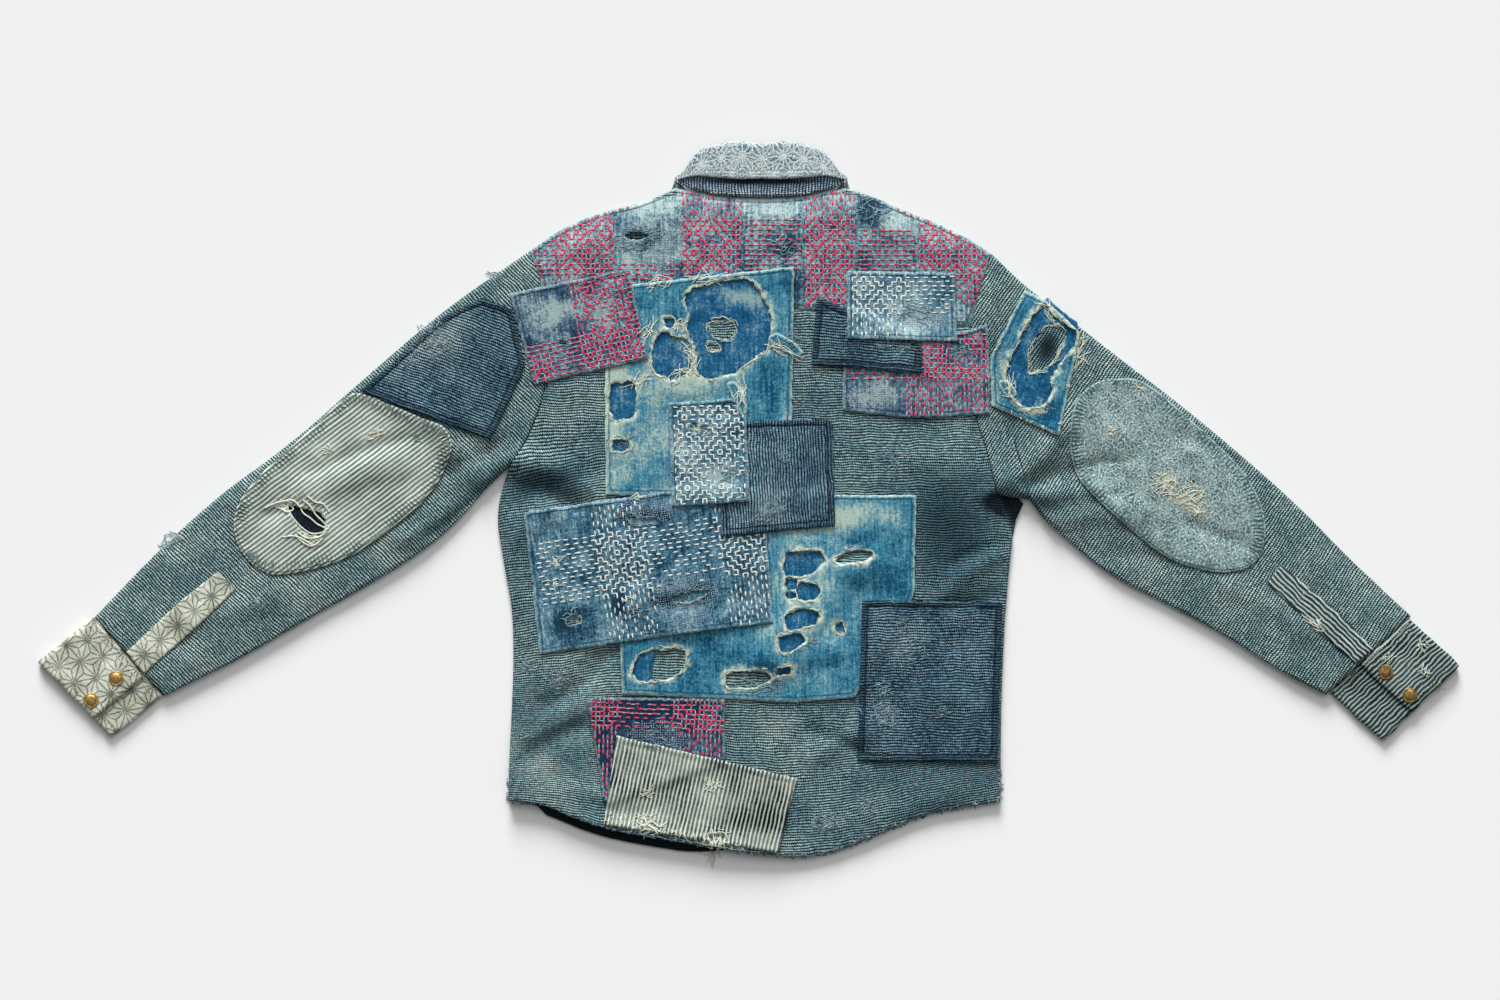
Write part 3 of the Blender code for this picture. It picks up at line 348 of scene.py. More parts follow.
# Sewing along the edges: cloth, distance in, spacing, stitch, thread. Most outlines run clockwise, so inset moves
# their line out of the cloth and inside_piece drops its stitches: this sewing does not show yet.
EDGE_SEWING = [
    ("patch_red_left", 3.2, 5.2, 3.4, "red thread"), ("patch_pink", 3.4, 5.2, 3.4, "red thread"),
    ("patch_red_bottom", 3.2, 5.4, 3.4, "red thread"), ("patch_sashiko_large", 3.0, 5.4, 3.2, "white thread"),
    ("patch_white_centre", 2.6, 4.8, 3.2, "white thread"),
    ("patch_white_shoulder", 2.8, 4.8, 3.2, "white thread"),
    ("patch_denim_upper", 3.8, 4.4, 2.8, "dusk thread"), ("patch_denim_lower", 3.8, 4.4, 2.8, "dusk thread"),
    ("patch_knit_lower", 4.2, 4.6, 2.6, "dusk thread"), ("patch_knit_centre", 3.6, 4.4, 2.8, "dusk thread"),
    ("patch_knit_shoulder", 3.8, 4.6, 2.6, "dusk thread"),
    ("sleeve_patch_knit_left", 4.4, 4.8, 2.8, "dusk thread"),
    ("sleeve_patch_denim_right", 3.4, 4.4, 2.8, "dusk thread"), ("patch_stripe", 3.4, 4.6, 2.8, "navy thread"),
    ("elbow_patch_left", 1.6, 3.4, 3.0, "white thread"), ("elbow_patch_right", 1.6, 3.4, 3.0, "white thread"),
    ("back_yoke", 3.4, 4.4, 2.8, "dusk thread"), ("back_yoke", 9.6, 4.6, 2.8, "dusk thread"),
    ("placket_left", 1.8, 3.6, 2.0, "navy thread"), ("placket_right", 1.8, 3.6, 2.0, "navy thread"),
]

# Loose yarns: x, y, length, half width, turn, count, curl, longest share
CREAM_FRAYS = [
    (-99, -323, 16, 11, 20, 26, 1.0, 0.9), (-33, -351, 26, 5, 84, 14, 0.35, 1.0),
    (-40, -346, 16, 8, 60, 12, 0.8, 1.0), (-466, -6, 12, 5, -10, 16, 1.0, 0.9),
    (-436, -40, 14, 5, -5, 16, 1.0, 0.9), (-90, 216, 20, 6, 30, 10, 0.6, 0.9),
    (-101, 168, 22, 5, 70, 12, 0.7, 0.9), (-108, 118, 24, 4, 20, 10, 0.5, 0.9),
    (34, 150, 26, 4, -30, 12, 0.5, 0.9), (-30, -334, 16, 6, 0, 8, 0.7, 0.9),
    (-101, -291, 12, 5, 0, 14, 0.9, 0.9), (-37, -285, 11, 9, 80, 18, 0.9, 0.9),
    (-420, 50, 9, 4, 40, 9, 0.9, 0.9), (-373, 65, 14, 4, 20, 10, 0.9, 0.9), (332, 147, 26, 3, 80, 10, 0.6, 0.9),
    (300, 188, 22, 4, -50, 9, 0.5, 0.9), (262, 112, 22, 4, 70, 8, 0.5, 0.9), (-7, 108, 24, 4, 85, 14, 0.5, 0.9),
    (-67, 174, 12, 6, 45, 12, 0.9, 0.9), (-57, 140, 30, 3, 88, 9, 0.4, 0.9), (-62, 128, 26, 4, 20, 8, 0.5, 0.9),
    (-40, 222, 30, 4, 10, 9, 0.4, 0.9), (416, 14, 20, 10, -10, 26, 1.0, 0.9),
    (440, 6, 20, 10, 20, 26, 1.0, 0.9), (450, -8, 14, 6, 0, 8, 0.8, 0.9), (363, 68, 8, 5, 0, 9, 1.0, 0.9),
    (392, 112, 12, 4, 0, 7, 0.9, 0.9), (-190, -60, 12, 6, 0, 9, 0.9, 0.9), (-194, -82, 14, 4, 0, 7, 0.9, 0.9),
    (-112, 4, 10, 4, 0, 6, 0.7, 0.9), (-118, -100, 10, 6, 60, 8, 0.9, 0.9), (-52, 70, 18, 4, 0, 8, 0.7, 0.8),
    (640, -158, 10, 4, 40, 7, 0.8, 0.9), (693, -188, 10, 4, 40, 6, 0.8, 0.9),
    (674, -146, 9, 5, 70, 12, 0.9, 0.9), (676, -170, 9, 5, 60, 10, 0.9, 0.9),
    (564, -122, 20, 3, -42, 9, 0.6, 0.9),
]
BLUE_FRAYS = [
    (123, 289, 16, 16, 60, 34, 1.0, 0.8), (37, 254, 13, 11, 40, 22, 1.0, 0.8),
    (41, 156, 18, 9, 30, 14, 0.7, 0.8), (-112, 262, 22, 9, 20, 34, 0.9, 0.8),
    (-96, 266, 14, 5, 35, 14, 0.7, 0.8), (-112, 252, 22, 4, 5, 12, 0.8, 0.8),
    (-125, 60, 14, 8, 80, 10, 0.8, 0.8), (-90, -238, 22, 10, 0, 10, 0.6, 0.6),
    (-185, -183, 18, 16, 20, 26, 1.0, 0.7), (-218, -167, 14, 6, 0, 12, 0.9, 0.9),
    (-222, -234, 10, 5, 0, 9, 0.9, 0.9), (77, -323, 20, 7, 8, 26, 1.0, 0.7),
    (119, -305, 14, 9, 0, 14, 1.0, 0.8), (167, -284, 9, 5, 0, 8, 1.0, 0.9),
    (-310, 158, 24, 20, 25, 40, 1.0, 0.6), (-340, 142, 18, 8, 25, 12, 1.0, 0.8),
    (-254, 225, 12, 4, 0, 8, 0.9, 0.9), (-576, -40, 20, 5, 37, 16, 1.0, 0.9),
    (-489, -105, 14, 6, 37, 12, 1.0, 0.9), (136, -215, 18, 13, 75, 30, 1.0, 0.7),
    (136, -190, 14, 8, 75, 14, 1.0, 0.8), (195, -212, 10, 6, 0, 14, 1.0, 0.8),
    (160, -140, 20, 24, 30, 22, 0.8, 0.5), (22, -10, 26, 8, 35, 30, 0.9, 0.6), (35, 43, 9, 7, 60, 12, 1.0, 0.9),
    (-60, -97, 24, 6, 15, 20, 0.8, 0.7), (-104, -20, 22, 5, 5, 16, 0.8, 0.8),
    (-176, -118, 14, 7, 30, 18, 0.9, 0.8), (-110, -112, 14, 5, 10, 9, 0.8, 0.8),
    (210, 148, 12, 6, 60, 16, 1.0, 0.8), (150, 152, 30, 5, 0, 12, 0.8, 0.5), (-46, 66, 16, 6, 0, 12, 0.9, 0.8),
    (-20, 26, 18, 8, 0, 12, 0.8, 0.6), (10, -186, 30, 8, 0, 18, 0.7, 0.6), (62, -140, 14, 6, 40, 10, 0.9, 0.8),
    (140, 44, 30, 14, 0, 16, 0.8, 0.4), (166, 186, 24, 8, -20, 14, 0.7, 0.6), (-330, 60, 10, 6, 0, 6, 0.9, 0.7),
]
# Rows of short frays along an edge: cloth, number of spots, which yarn
EDGE_FRAYS = [
    ("patch_denim_upper", 46, "blue yarn"), ("patch_denim_lower", 40, "blue yarn"),
    ("patch_sashiko_large", 14, "blue yarn"), ("sleeve_patch_denim_right", 26, "cream yarn"),
    ("patch_stripe", 20, "cream yarn"), ("patch_knit_centre", 8, "blue yarn"),
    ("patch_white_centre", 10, "blue yarn"), ("patch_red_bottom", 8, "blue yarn"),
    ("patch_knit_lower", 8, "blue yarn"), ("back_body", 900, "blue yarn"),
]
# Thick strands across the torn elbow
ELBOW_STRANDS = [
    [(-478, -6), (-468, -3), (-456, 0), (-448, -6), (-444, -13), (-437, -18), (-430, -24), (-422, -28)],
    [(-476, -5), (-466, -9), (-460, -12), (-454, -9), (-458, -4)],
    [(-460, -8), (-454, -18), (-446, -27), (-437, -33), (-427, -33), (-418, -28)],
    [(-444, 0), (-437, -6), (-432, -14), (-426, -20), (-420, -26)],
    [(-464, -37), (-453, -36), (-443, -40), (-433, -45), (-424, -38)],
    [(-450, -32), (-440, -38), (-428, -37), (-420, -31)],
    [(-482, -8), (-474, -4), (-462, -1), (-455, -3)],
    [(-452, -34), (-446, -41), (-436, -46), (-428, -42)],
    [(-440, 4), (-432, -2), (-424, -4), (-418, -12)],
]
# Thick strands that hang from the hem patch
HEM_STRANDS = [
    [(-36, -328), (-34, -338), (-31, -348), (-27, -358)],
    [(-27, -332), (-28, -342), (-32, -352), (-33, -360)],
    [(-22, -334), (-24, -344), (-21, -353)],
    [(-41, -333), (-38, -342), (-40, -350), (-37, -356)],
    [(-112, -320), (-104, -325), (-96, -321), (-88, -326), (-82, -322)],
    [(-104, -316), (-100, -324), (-94, -328), (-90, -334)],
]

SNAPS = [("snap_left_1", -631, -178, "bright brass"), ("snap_left_2", -656, -200, "bright brass"),
         ("snap_right_1", 637, -172, "dull brass"), ("snap_right_2", 661, -195, "dull brass")]


# ---------------------------------------------------------------- shapes in plan


def soft_step(t):
    t = np.clip(t, 0, 1)
    return t * t * (3 - 2 * t)


def undulation(xy, size, seed):
    """Smooth unevenness between -1 and 1, with features about that size."""
    lattice = np.random.default_rng(seed).uniform(-1, 1, (97, 97))
    at = np.asarray(xy) / size
    cell = np.floor(at).astype(int)
    part = soft_step(at - cell)
    i, j = cell[..., 0] % 96, cell[..., 1] % 96
    u, v = part[..., 0], part[..., 1]
    return ((lattice[i, j] * (1 - u) + lattice[i + 1, j] * u) * (1 - v)
            + (lattice[i, j + 1] * (1 - u) + lattice[i + 1, j + 1] * u) * v)


def walked(line):
    """How far along a line each of its points is."""
    return np.concatenate([[0], np.cumsum(np.linalg.norm(np.diff(line, axis=0), axis=1))])


def points_at(line, at):
    """The points at those distances along a line."""
    along = walked(line)
    return np.column_stack([np.interp(at, along, column) for column in line.T])


def spaced(line, step):
    """Points evenly spaced along a line of points."""
    length = walked(line)[-1]
    return points_at(line, np.linspace(0, length, max(2, round(length / step) + 1)))


def rounded(line, closed=False):
    """The same line with a smooth curve through its points."""
    line = np.asarray(line, float)
    if closed:
        ahead, behind = np.roll(line, -1, 0), np.roll(line, 1, 0)
        legs = range(len(line))
    else:
        ahead = np.vstack([line[1:], 2 * line[-1:] - line[-2:-1]])
        behind = np.vstack([2 * line[:1] - line[1:2], line[:-1]])
        legs = range(len(line) - 1)
    slope = (ahead - behind) / 2
    t = np.linspace(0, 1, 8, endpoint=False)[:, None]
    out = []
    for i in legs:
        j = (i + 1) % len(line)
        out.append((2 * t**3 - 3 * t**2 + 1) * line[i] + (t**3 - 2 * t**2 + t) * slope[i]
                   + (3 * t**2 - 2 * t**3) * line[j] + (t**3 - t**2) * slope[j])
    return np.vstack(out + ([] if closed else [line[-1:]]))


def spaced_loop(loop, step):
    """Points evenly spaced round a closed line."""
    return spaced(np.vstack([loop, loop[:1]]), step)[:-1]


def outward(line, reach):
    """Unit vectors across a closed line. They point out of one that runs anticlockwise, and into one that runs
    clockwise."""
    run = np.roll(line, -reach, 0) - np.roll(line, reach, 0)
    return np.column_stack([run[:, 1], -run[:, 0]]) / np.maximum(np.linalg.norm(run, axis=1), 1e-9)[:, None]


def loop_through(corners, step, smooth=False, ragged=0.0, seed=0):
    """A closed line through the corners, curved except where it turns sharply."""
    corners = np.asarray(corners, float)
    if smooth:
        line = spaced_loop(rounded(corners, True), step)
    else:
        before, after = corners - np.roll(corners, 1, 0), np.roll(corners, -1, 0) - corners
        turn = np.arctan2(before[:, 0] * after[:, 1] - before[:, 1] * after[:, 0], (before * after).sum(1))
        sharp = np.nonzero(np.abs(turn) > 0.45)[0]
        if not len(sharp):
            return loop_through(corners, step, True, ragged, seed)
        sides = []
        for a, b in zip(sharp, np.roll(sharp, -1)):
            run = np.arange(a, b + 1 if b > a else b + 1 + len(corners)) % len(corners)
            sides.append(spaced(rounded(corners[run]) if len(run) > 2 else corners[run], step)[:-1])
        line = np.vstack(sides)
    if ragged:
        wander = 0.6 * undulation(line, 2.2, seed) + 0.6 * undulation(line, 6, seed + 1)
        line = line + outward(line, 1) * ragged * wander[:, None]
    area = (line[:, 0] * np.roll(line[:, 1], -1) - line[:, 1] * np.roll(line[:, 0], -1)).sum()
    return line if area > 0 else line[::-1]


def tear_edges(cloth):
    """The ragged edges of a cloth's torn openings."""
    return [loop_through(hole, 1.3, True, 1.7, 40 + k) for k, hole in enumerate(HOLES.get(cloth, []))]


def within(xy, loop):
    """Whether each point lies inside a closed line."""
    x, y = xy[..., 0], xy[..., 1]
    hit = np.zeros(x.shape, bool)
    for (x0, y0), (x1, y1) in zip(loop, np.roll(loop, -1, 0)):
        if y0 != y1:
            hit ^= ((y0 > y) != (y1 > y)) & (x < (x1 - x0) * (y - y0) / (y1 - y0) + x0)
    return hit


def to_line(xy, line, closed=True):
    """Distance from each point to a line, and how far along the line its nearest point is."""
    ends = np.roll(line, -1, 0) if closed else line[1:]
    best, along, walk = np.full(xy.shape[:-1], 1e9), np.zeros(xy.shape[:-1]), 0.0
    for a, b in zip(line, ends):
        run = b - a
        length = float(np.hypot(*run))
        share = np.clip(((xy - a) @ run) / max(length**2, 1e-9), 0, 1)
        away = np.linalg.norm(xy - a - share[..., None] * run, axis=-1)
        nearer = away < best
        best = np.where(nearer, away, best)
        along = np.where(nearer, walk + share * length, along)
        walk += length
    return best, along


def turned(xy, degrees):
    """The points seen from a frame that is turned by that much."""
    a = np.radians(degrees)
    return np.asarray(xy, float) @ np.array([[np.cos(a), -np.sin(a)], [np.sin(a), np.cos(a)]])


def outline_of(node):
    """Outline of a CAD node's upper side."""
    bm = bmesh.new()
    bm.from_mesh(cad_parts[node].data)
    bmesh.ops.remove_doubles(bm, verts=bm.verts, dist=1e-6)
    upper = {f for f in bm.faces if f.normal.z > 0.3}
    beside = {}
    for edge in bm.edges:
        if sum(f in upper for f in edge.link_faces) == 1:
            a, b = edge.verts
            beside.setdefault(a, []).append(b)
            beside.setdefault(b, []).append(a)
    loops, seen = [], set()
    for start in beside:
        if start in seen:
            continue
        loop = [start]
        while loop[-1] not in seen:
            seen.add(loop[-1])
            loop += [v for v in beside[loop[-1]] if v not in seen][:1]
        if loop[-1] == loop[-2]:
            loop.pop()
        loops.append(np.array([v.co[:2] for v in loop]) / MM)
    bm.free()
    return max(loops, key=lambda loop: np.ptp(loop, 0).prod())


def folds(xy):
    """Height that the folds and the unevenness of worn cloth add to an upper side."""
    total = 0.7 * undulation(xy, 46, 3) + 0.5 * undulation(xy, 23, 4) + 0.22 * undulation(xy, 11, 5)
    for x0, y0, x1, y1, half_width, height, bow in FOLDS:
        start, run = np.array((x0, y0)), np.array((x1 - x0, y1 - y0))
        along = ((xy - start) @ run) / (run @ run)
        aside = ((xy - start) @ np.array((-run[1], run[0]))) / np.hypot(*run) - bow * (1 - (2 * along - 1) ** 2)
        ends = soft_step(along * 3 + 0.7) * soft_step((1 - along) * 3 + 0.7)
        total = total + FOLD_GAIN * height * np.exp(-((aside / half_width) ** 2)) * ends
    return total


# ---------------------------------------------------------------- the pile

grid = np.stack(np.meshgrid(WEST + CELL * np.arange(COLUMNS), SOUTH + CELL * np.arange(ROWS)), -1)


def sample(field, xy):
    """The grid's value between its cells."""
    at = (np.asarray(xy) - (WEST, SOUTH)) / CELL
    i, j = (np.clip(at[..., k], 0, (COLUMNS, ROWS)[k] - 1.001) for k in (0, 1))
    a, b = i.astype(int), j.astype(int)
    u, v = i - a, j - b
    return ((field[b, a] * (1 - u) + field[b, a + 1] * u) * (1 - v)
            + (field[b + 1, a] * (1 - u) + field[b + 1, a + 1] * u) * v)


def window(loop, margin=14):
    """The part of the grid round a closed line, with a margin in cells."""
    low = ((loop.min(0) - (WEST, SOUTH)) / CELL).astype(int) - margin
    high = ((loop.max(0) - (WEST, SOUTH)) / CELL).astype(int) + margin
    return (slice(max(low[1], 0), min(high[1], ROWS)), slice(max(low[0], 0), min(high[0], COLUMNS)))


def grown(field, steps):
    """Each cell takes the highest value within that many steps."""
    for k in range(steps):
        pad = np.pad(field, 1, mode="edge")
        around = [pad[1:-1, :-2], pad[1:-1, 2:], pad[:-2, 1:-1], pad[2:, 1:-1]]
        if k % 2:
            around += [pad[:-2, :-2], pad[:-2, 2:], pad[2:, :-2], pad[2:, 2:]]
        field = np.maximum.reduce([field] + around)
    return field


def blurred(field, cells):
    """The field blurred over about that many cells."""
    def spread(n):
        far = np.subtract.outer(np.arange(n), np.arange(n)) / cells
        weight = np.exp(-0.5 * far**2)
        return weight / weight.sum(1, keepdims=True)
    return spread(field.shape[0]) @ field @ spread(field.shape[1]).T


def raise_pile(loop, level):
    """Brings the pile inside a closed line up to a level."""
    part = window(loop)
    pile[part] = np.where(within(grid[part], loop), np.maximum(level, pile[part]), pile[part])


pile = np.zeros((ROWS, COLUMNS))
outlines = {name: outline_of(name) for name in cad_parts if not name.startswith(("snap", "collar"))}

# How far each cell lies inside the silhouette, up to 24 mm, and from that the form of the back
silhouette = np.zeros((ROWS, COLUMNS))
for name in ("back_body", "back_yoke", "sleeve_left", "sleeve_right", "cuff_left", "cuff_right"):
    part = window(outlines[name])
    silhouette[part] = np.maximum(silhouette[part], within(grid[part], outlines[name]))
silhouette = -grown(-grown(silhouette, 2), 2)
depth = sum(1 - grown(1 - silhouette, k) for k in range(1, 17)) + silhouette
inland = blurred(depth, 2.0) * CELL
raised = HEM_RISE + HEM_RISE_LEFT * soft_step((90 - grid[..., 0]) / 130)
hem_height = RIM + raised * soft_step((-grid[..., 1] - 215) / 60)
back_form = hem_height + (LOFT + 0.8 - hem_height) * soft_step((inland - 1) / 23) ** 0.8
back_form += folds(grid) * soft_step(inland / 14)


def settle(mask, part, reach):
    """The lowest smooth form that clears whatever lies under the masked cells."""
    under = np.where(mask, pile[part], -1.0)
    over = grown(under, reach)
    known = (over > -1).astype(float)
    weight = blurred(known, reach * 0.6)
    form = blurred(np.where(known > 0, over, 0), reach * 0.6) / np.maximum(weight, 1e-4)
    return np.where(weight > 1e-3, np.maximum(form, under), 0)


# ---------------------------------------------------------------- meshes

def add_object(name, data):
    """A new object in the scene."""
    made = bpy.data.objects.new(name, data)
    bpy.context.scene.collection.objects.link(made)
    return made


shown = {}  # finished pieces by name
upper_side = {}  # grid of each panel's upper side


def solid(name, points, faces, material, cloth, fields=None):
    """A closed shell from points in millimetres, with its weave's coordinates as a UV map in millimetres."""
    faces = np.asarray(faces)
    a, b, c = (points[faces[:, k]] for k in (0, 1, 2))
    if np.einsum("ij,ij->", a, np.cross(b, c)) < 0:
        faces = faces[:, ::-1]
    mesh = bpy.data.meshes.new(name)
    mesh.from_pydata((points * MM).tolist(), [], faces.tolist())
    mesh.update()
    weave = mesh.uv_layers.new(name="cloth")
    weave.data.foreach_set("uv", cloth[faces.ravel()].astype(np.float32).ravel())
    for label, values in (fields or {}).items():
        mesh.attributes.new(label, "FLOAT", "POINT").data.foreach_set("value", values.astype(np.float32))
    mesh.shade_smooth()
    mesh.materials.append(material)
    label = name.replace("snap_", "stud_") if name.startswith("snap_") else name + "_cloth"
    shown[name] = add_object(label, mesh)


def tiles(loop, holes, step, seed):
    """Points and triangles that fill a closed line and leave its holes open."""
    low = loop.min(0)
    rows = int(np.ptp(loop[:, 1]) / (step * 0.87)) + 2
    columns = int(np.ptp(loop[:, 0]) / step) + 2
    i, j = np.meshgrid(np.arange(columns), np.arange(rows))
    inner = np.column_stack([(low[0] + step * (i + 0.5 * (j % 2))).ravel(), (low[1] + step * 0.87 * j).ravel()])
    inner += np.random.default_rng(seed).uniform(-0.12, 0.12, inner.shape) * step
    keep = within(inner, loop) & (to_line(inner, loop)[0] > 0.6 * step)
    for hole in holes:
        near = (np.abs(inner - hole.mean(0)) < np.ptp(hole, 0) / 2 + 3 * step).all(1) & keep
        spots = inner[near]
        keep[near] = ~within(spots, hole) & (to_line(spots, hole)[0] > 0.6 * step)
    edges, first = [], 0
    for ring in [loop] + holes:
        edges += [(first + k, first + (k + 1) % len(ring)) for k in range(len(ring))]
        first += len(ring)
    points = np.vstack([loop] + holes + [inner[keep]])
    made = delaunay_2d_cdt(points.tolist(), edges, [], 2, 1e-5, False)
    xy = np.array([tuple(v) for v in made[0]])
    faces = np.array(made[2])
    a, b, c = (xy[faces[:, k]] for k in (0, 1, 2))
    wrong = (b[:, 0] - a[:, 0]) * (c[:, 1] - a[:, 1]) < (b[:, 1] - a[:, 1]) * (c[:, 0] - a[:, 0])
    faces[wrong] = faces[wrong][:, ::-1]
    middle = xy[faces].mean(1)
    keep = within(middle, loop)
    for hole in holes:
        keep &= ~within(middle, hole)
    faces = faces[keep]
    used, faces = np.unique(faces, return_inverse=True)
    return xy[used], faces.reshape(-1, 3)


def rim_of(faces):
    """Directed edges that only one face uses."""
    edges = np.vstack([faces[:, [0, 1]], faces[:, [1, 2]], faces[:, [2, 0]]])
    known = {(a, b) for a, b in edges.tolist()}
    return np.array([e for e in known if (e[1], e[0]) not in known])


def paint(xy, spots):
    """Soft spots: x, y, half length, half width, turn, amount."""
    total = np.zeros(len(xy))
    for x, y, length, width, turn, amount in spots:
        at = turned(xy - (x, y), turn)
        total += amount * np.exp(-((at[:, 0] / length) ** 2) - (at[:, 1] / width) ** 2)
    return total


def marks_on(name, xy, edge, run=0.0, torn=FAR):
    """What the materials read at each point: distances from edge and tear, distance round, fading and painted shade,
    and wear.
    """
    blank = np.zeros(len(xy))
    return {"edge": np.minimum(blank + edge, FAR), "run": blank + run, "torn": blank + torn,
            "fade": paint(xy, FADE_AND_SHADE.get(name, [])), "worn": paint(xy, WORN.get(name, []))}


def lay(name, loop, thickness, material, turn, step, reach=4, form=None, hem=0.0, cloth=None):
    """Lays a cloth on the pile, or on a form of its own. loop is its outline, turn the direction of its weave, step
    the size of its faces, hem the height of its turned hem, and cloth a rule for its weave's coordinates."""
    part = window(loop)
    mask = within(grid[part], loop)
    holes = tear_edges(name)
    if form is None:
        field = np.zeros((ROWS, COLUMNS))
        field[part] = settle(mask, part, reach) + 0.12 + thickness + 0.1 * undulation(grid[part], 9, len(name))
    else:
        field = form.copy()
    if hem:
        near = to_line(grid[part], loop)[0]
        field[part] += hem * (soft_step(1.6 - near / 4) - 0.35 * np.exp(-(((near - 6.5) / 1.6) ** 2)))
    upper_side[name] = field
    open_part = np.zeros(mask.shape, bool)
    for hole in holes:
        open_part |= within(grid[part], hole)
    pile[part] = np.where(mask & ~open_part, np.maximum(field[part], pile[part]), pile[part])

    xy, faces = tiles(loop, holes, step, len(name))
    count = len(xy)
    top = sample(field, xy)
    edge, run = to_line(xy, loop)
    torn = np.full(count, FAR)
    for hole in holes:
        torn = np.minimum(torn, to_line(xy, hole)[0])
    top = top + np.exp(-((torn / 2.0) ** 2)) * (torn < FAR - 1) * (0.35 + 0.35 * undulation(xy, 4, 9))
    border = rim_of(faces)
    low = np.zeros(count)
    low[np.unique(border)] = 0.3 * thickness  # rounds the edges
    points = np.vstack([np.column_stack([xy, top - low]), np.column_stack([xy, top - thickness + low])])
    a, b = border.T
    shell = np.vstack([faces, faces[:, ::-1] + count,
                       np.column_stack([a + count, b + count, b]), np.column_stack([a + count, b, a])])
    weave = turned(xy, turn) if cloth is None else cloth(xy)
    fields = marks_on(name, xy, edge, run, torn)
    twice = {label: np.concatenate([values, values]) for label, values in fields.items()}
    solid(name, points, shell, material, np.vstack([weave, weave]), twice)


def coons(top, bottom, left, right):
    """The grid that four edges bound: top and bottom run left to right, left and right run downwards."""
    u = np.linspace(0, 1, len(top))[None, :, None]
    v = np.linspace(0, 1, len(left))[:, None, None]
    ruled = (1 - v) * top[None] + v * bottom[None] + (1 - u) * left[:, None] + u * right[:, None]
    return ruled - (1 - u) * (1 - v) * top[0] - u * (1 - v) * top[-1] - (1 - u) * v * bottom[0] - u * v * bottom[-1]


def tube(name, rings, material, cloth, edge, run=0.0, closed=False):
    """A shell through rings of equal length. Open paths are capped."""
    rings = np.asarray(rings, float)
    count, size = rings.shape[:2]
    near = np.arange(count * size).reshape(count, size)
    far = np.roll(near, -1, 0) if closed else near[1:]
    near = near if closed else near[:-1]
    a, b = near, np.roll(near, -1, 1)
    c, d = np.roll(far, -1, 1), far
    faces = np.vstack([np.column_stack([q.ravel() for q in corners]) for corners in ((a, b, c), (a, c, d))])
    if not closed:
        caps = []
        for ring, order in ((np.arange(size), 1), (np.arange(size) + (count - 1) * size, -1)):
            for i in range(size // 2 - 1):
                quad = [ring[i], ring[i + 1], ring[size - 2 - i], ring[size - 1 - i]][::-order]
                caps += [[quad[0], quad[1], quad[2]], [quad[0], quad[2], quad[3]]]
        faces = np.vstack([faces, caps])
    points = rings.reshape(-1, 3)
    solid(name, points, faces, material, np.reshape(cloth, (-1, 2)),
          marks_on(name, points[:, :2], np.ravel(edge), np.ravel(run)))


def sleeve(side, material, turn):
    """A knitted tube laid flat, with a hollow inside."""
    name = "sleeve_" + side
    loop = outlines[name]
    corners = [int(np.argmin(np.linalg.norm(loop - np.array(c), axis=1))) for c in SLEEVE_CORNERS[side]]

    def between(a, b):
        forward = np.arange(a, b + 1 if b >= a else b + 1 + len(loop)) % len(loop)
        back = np.arange(a, b - 1 if b <= a else b - 1 - len(loop), -1) % len(loop)
        return loop[min(forward, back, key=len)]

    def edge_line(a, b, count):
        line = spaced(rounded(between(a, b)), 1.0)
        return line[np.linspace(0, len(line) - 1, count).round().astype(int)]

    shoulder, wrist_top, wrist_foot, underarm = corners
    stations, station_step = 118, 4.2
    upper, lower = edge_line(shoulder, wrist_top, stations), edge_line(underarm, wrist_foot, stations)
    armhole, wrist = edge_line(shoulder, underarm, 61), edge_line(wrist_top, wrist_foot, 61)
    plan = coons(upper, lower, armhole, wrist)  # rows across, stations along
    half = LOFT / 2

    def rise(xy, near):
        return folds(xy) * np.sin(np.pi * np.clip(near / 26, 0, 0.5)) + DOME * soft_step(near / 30) - 0.6

    outer, inner, weave, edge = [], [], [], []
    for k in range(stations):
        line = plan[:, k]
        width = walked(line)[-1]
        from_end = min(k, stations - 1 - k) * station_step
        sink = np.exp(-((from_end / 3.0) ** 2))
        for radius, rings in ((half, outer), (half - KNIT, inner)):
            angles = np.radians((0, 24, 48, 70, 90))
            turn_in = half - radius * np.cos(angles)
            flat = np.linspace(half, width - half, 46)[1:-1]
            away = np.concatenate([turn_in, flat, width - turn_in[::-1]])
            level = radius * np.concatenate([np.sin(angles), np.ones(44), np.sin(angles[::-1])])
            xy = points_at(line, away)
            top = np.column_stack([xy, half + level + rise(xy, np.minimum(away, width - away)) - sink])
            under = np.column_stack([xy, half - level])[-2:0:-1]
            rings.append(np.vstack([top, under]))
            if radius == half:
                weave.append(np.vstack([turned(xy, turn), turned(xy[-2:0:-1], turn)]))
                edge.append(np.full(len(top) + len(under), from_end))
    tube(name, outer + inner[::-1], material, weave + weave[::-1], edge + edge[::-1], closed=True)
    # The pile's cells under the sleeve
    cells = grid[window(loop)]
    far = np.minimum(to_line(cells, upper, False)[0], to_line(cells, lower, False)[0])
    form = half + half * np.sqrt(np.clip(1 - (1 - np.clip(far / half, 0, 1)) ** 2, 0, 1)) + rise(cells, far)
    upper_side[name] = np.zeros((ROWS, COLUMNS))
    upper_side[name][window(loop)] = form
    raise_pile(loop, form)


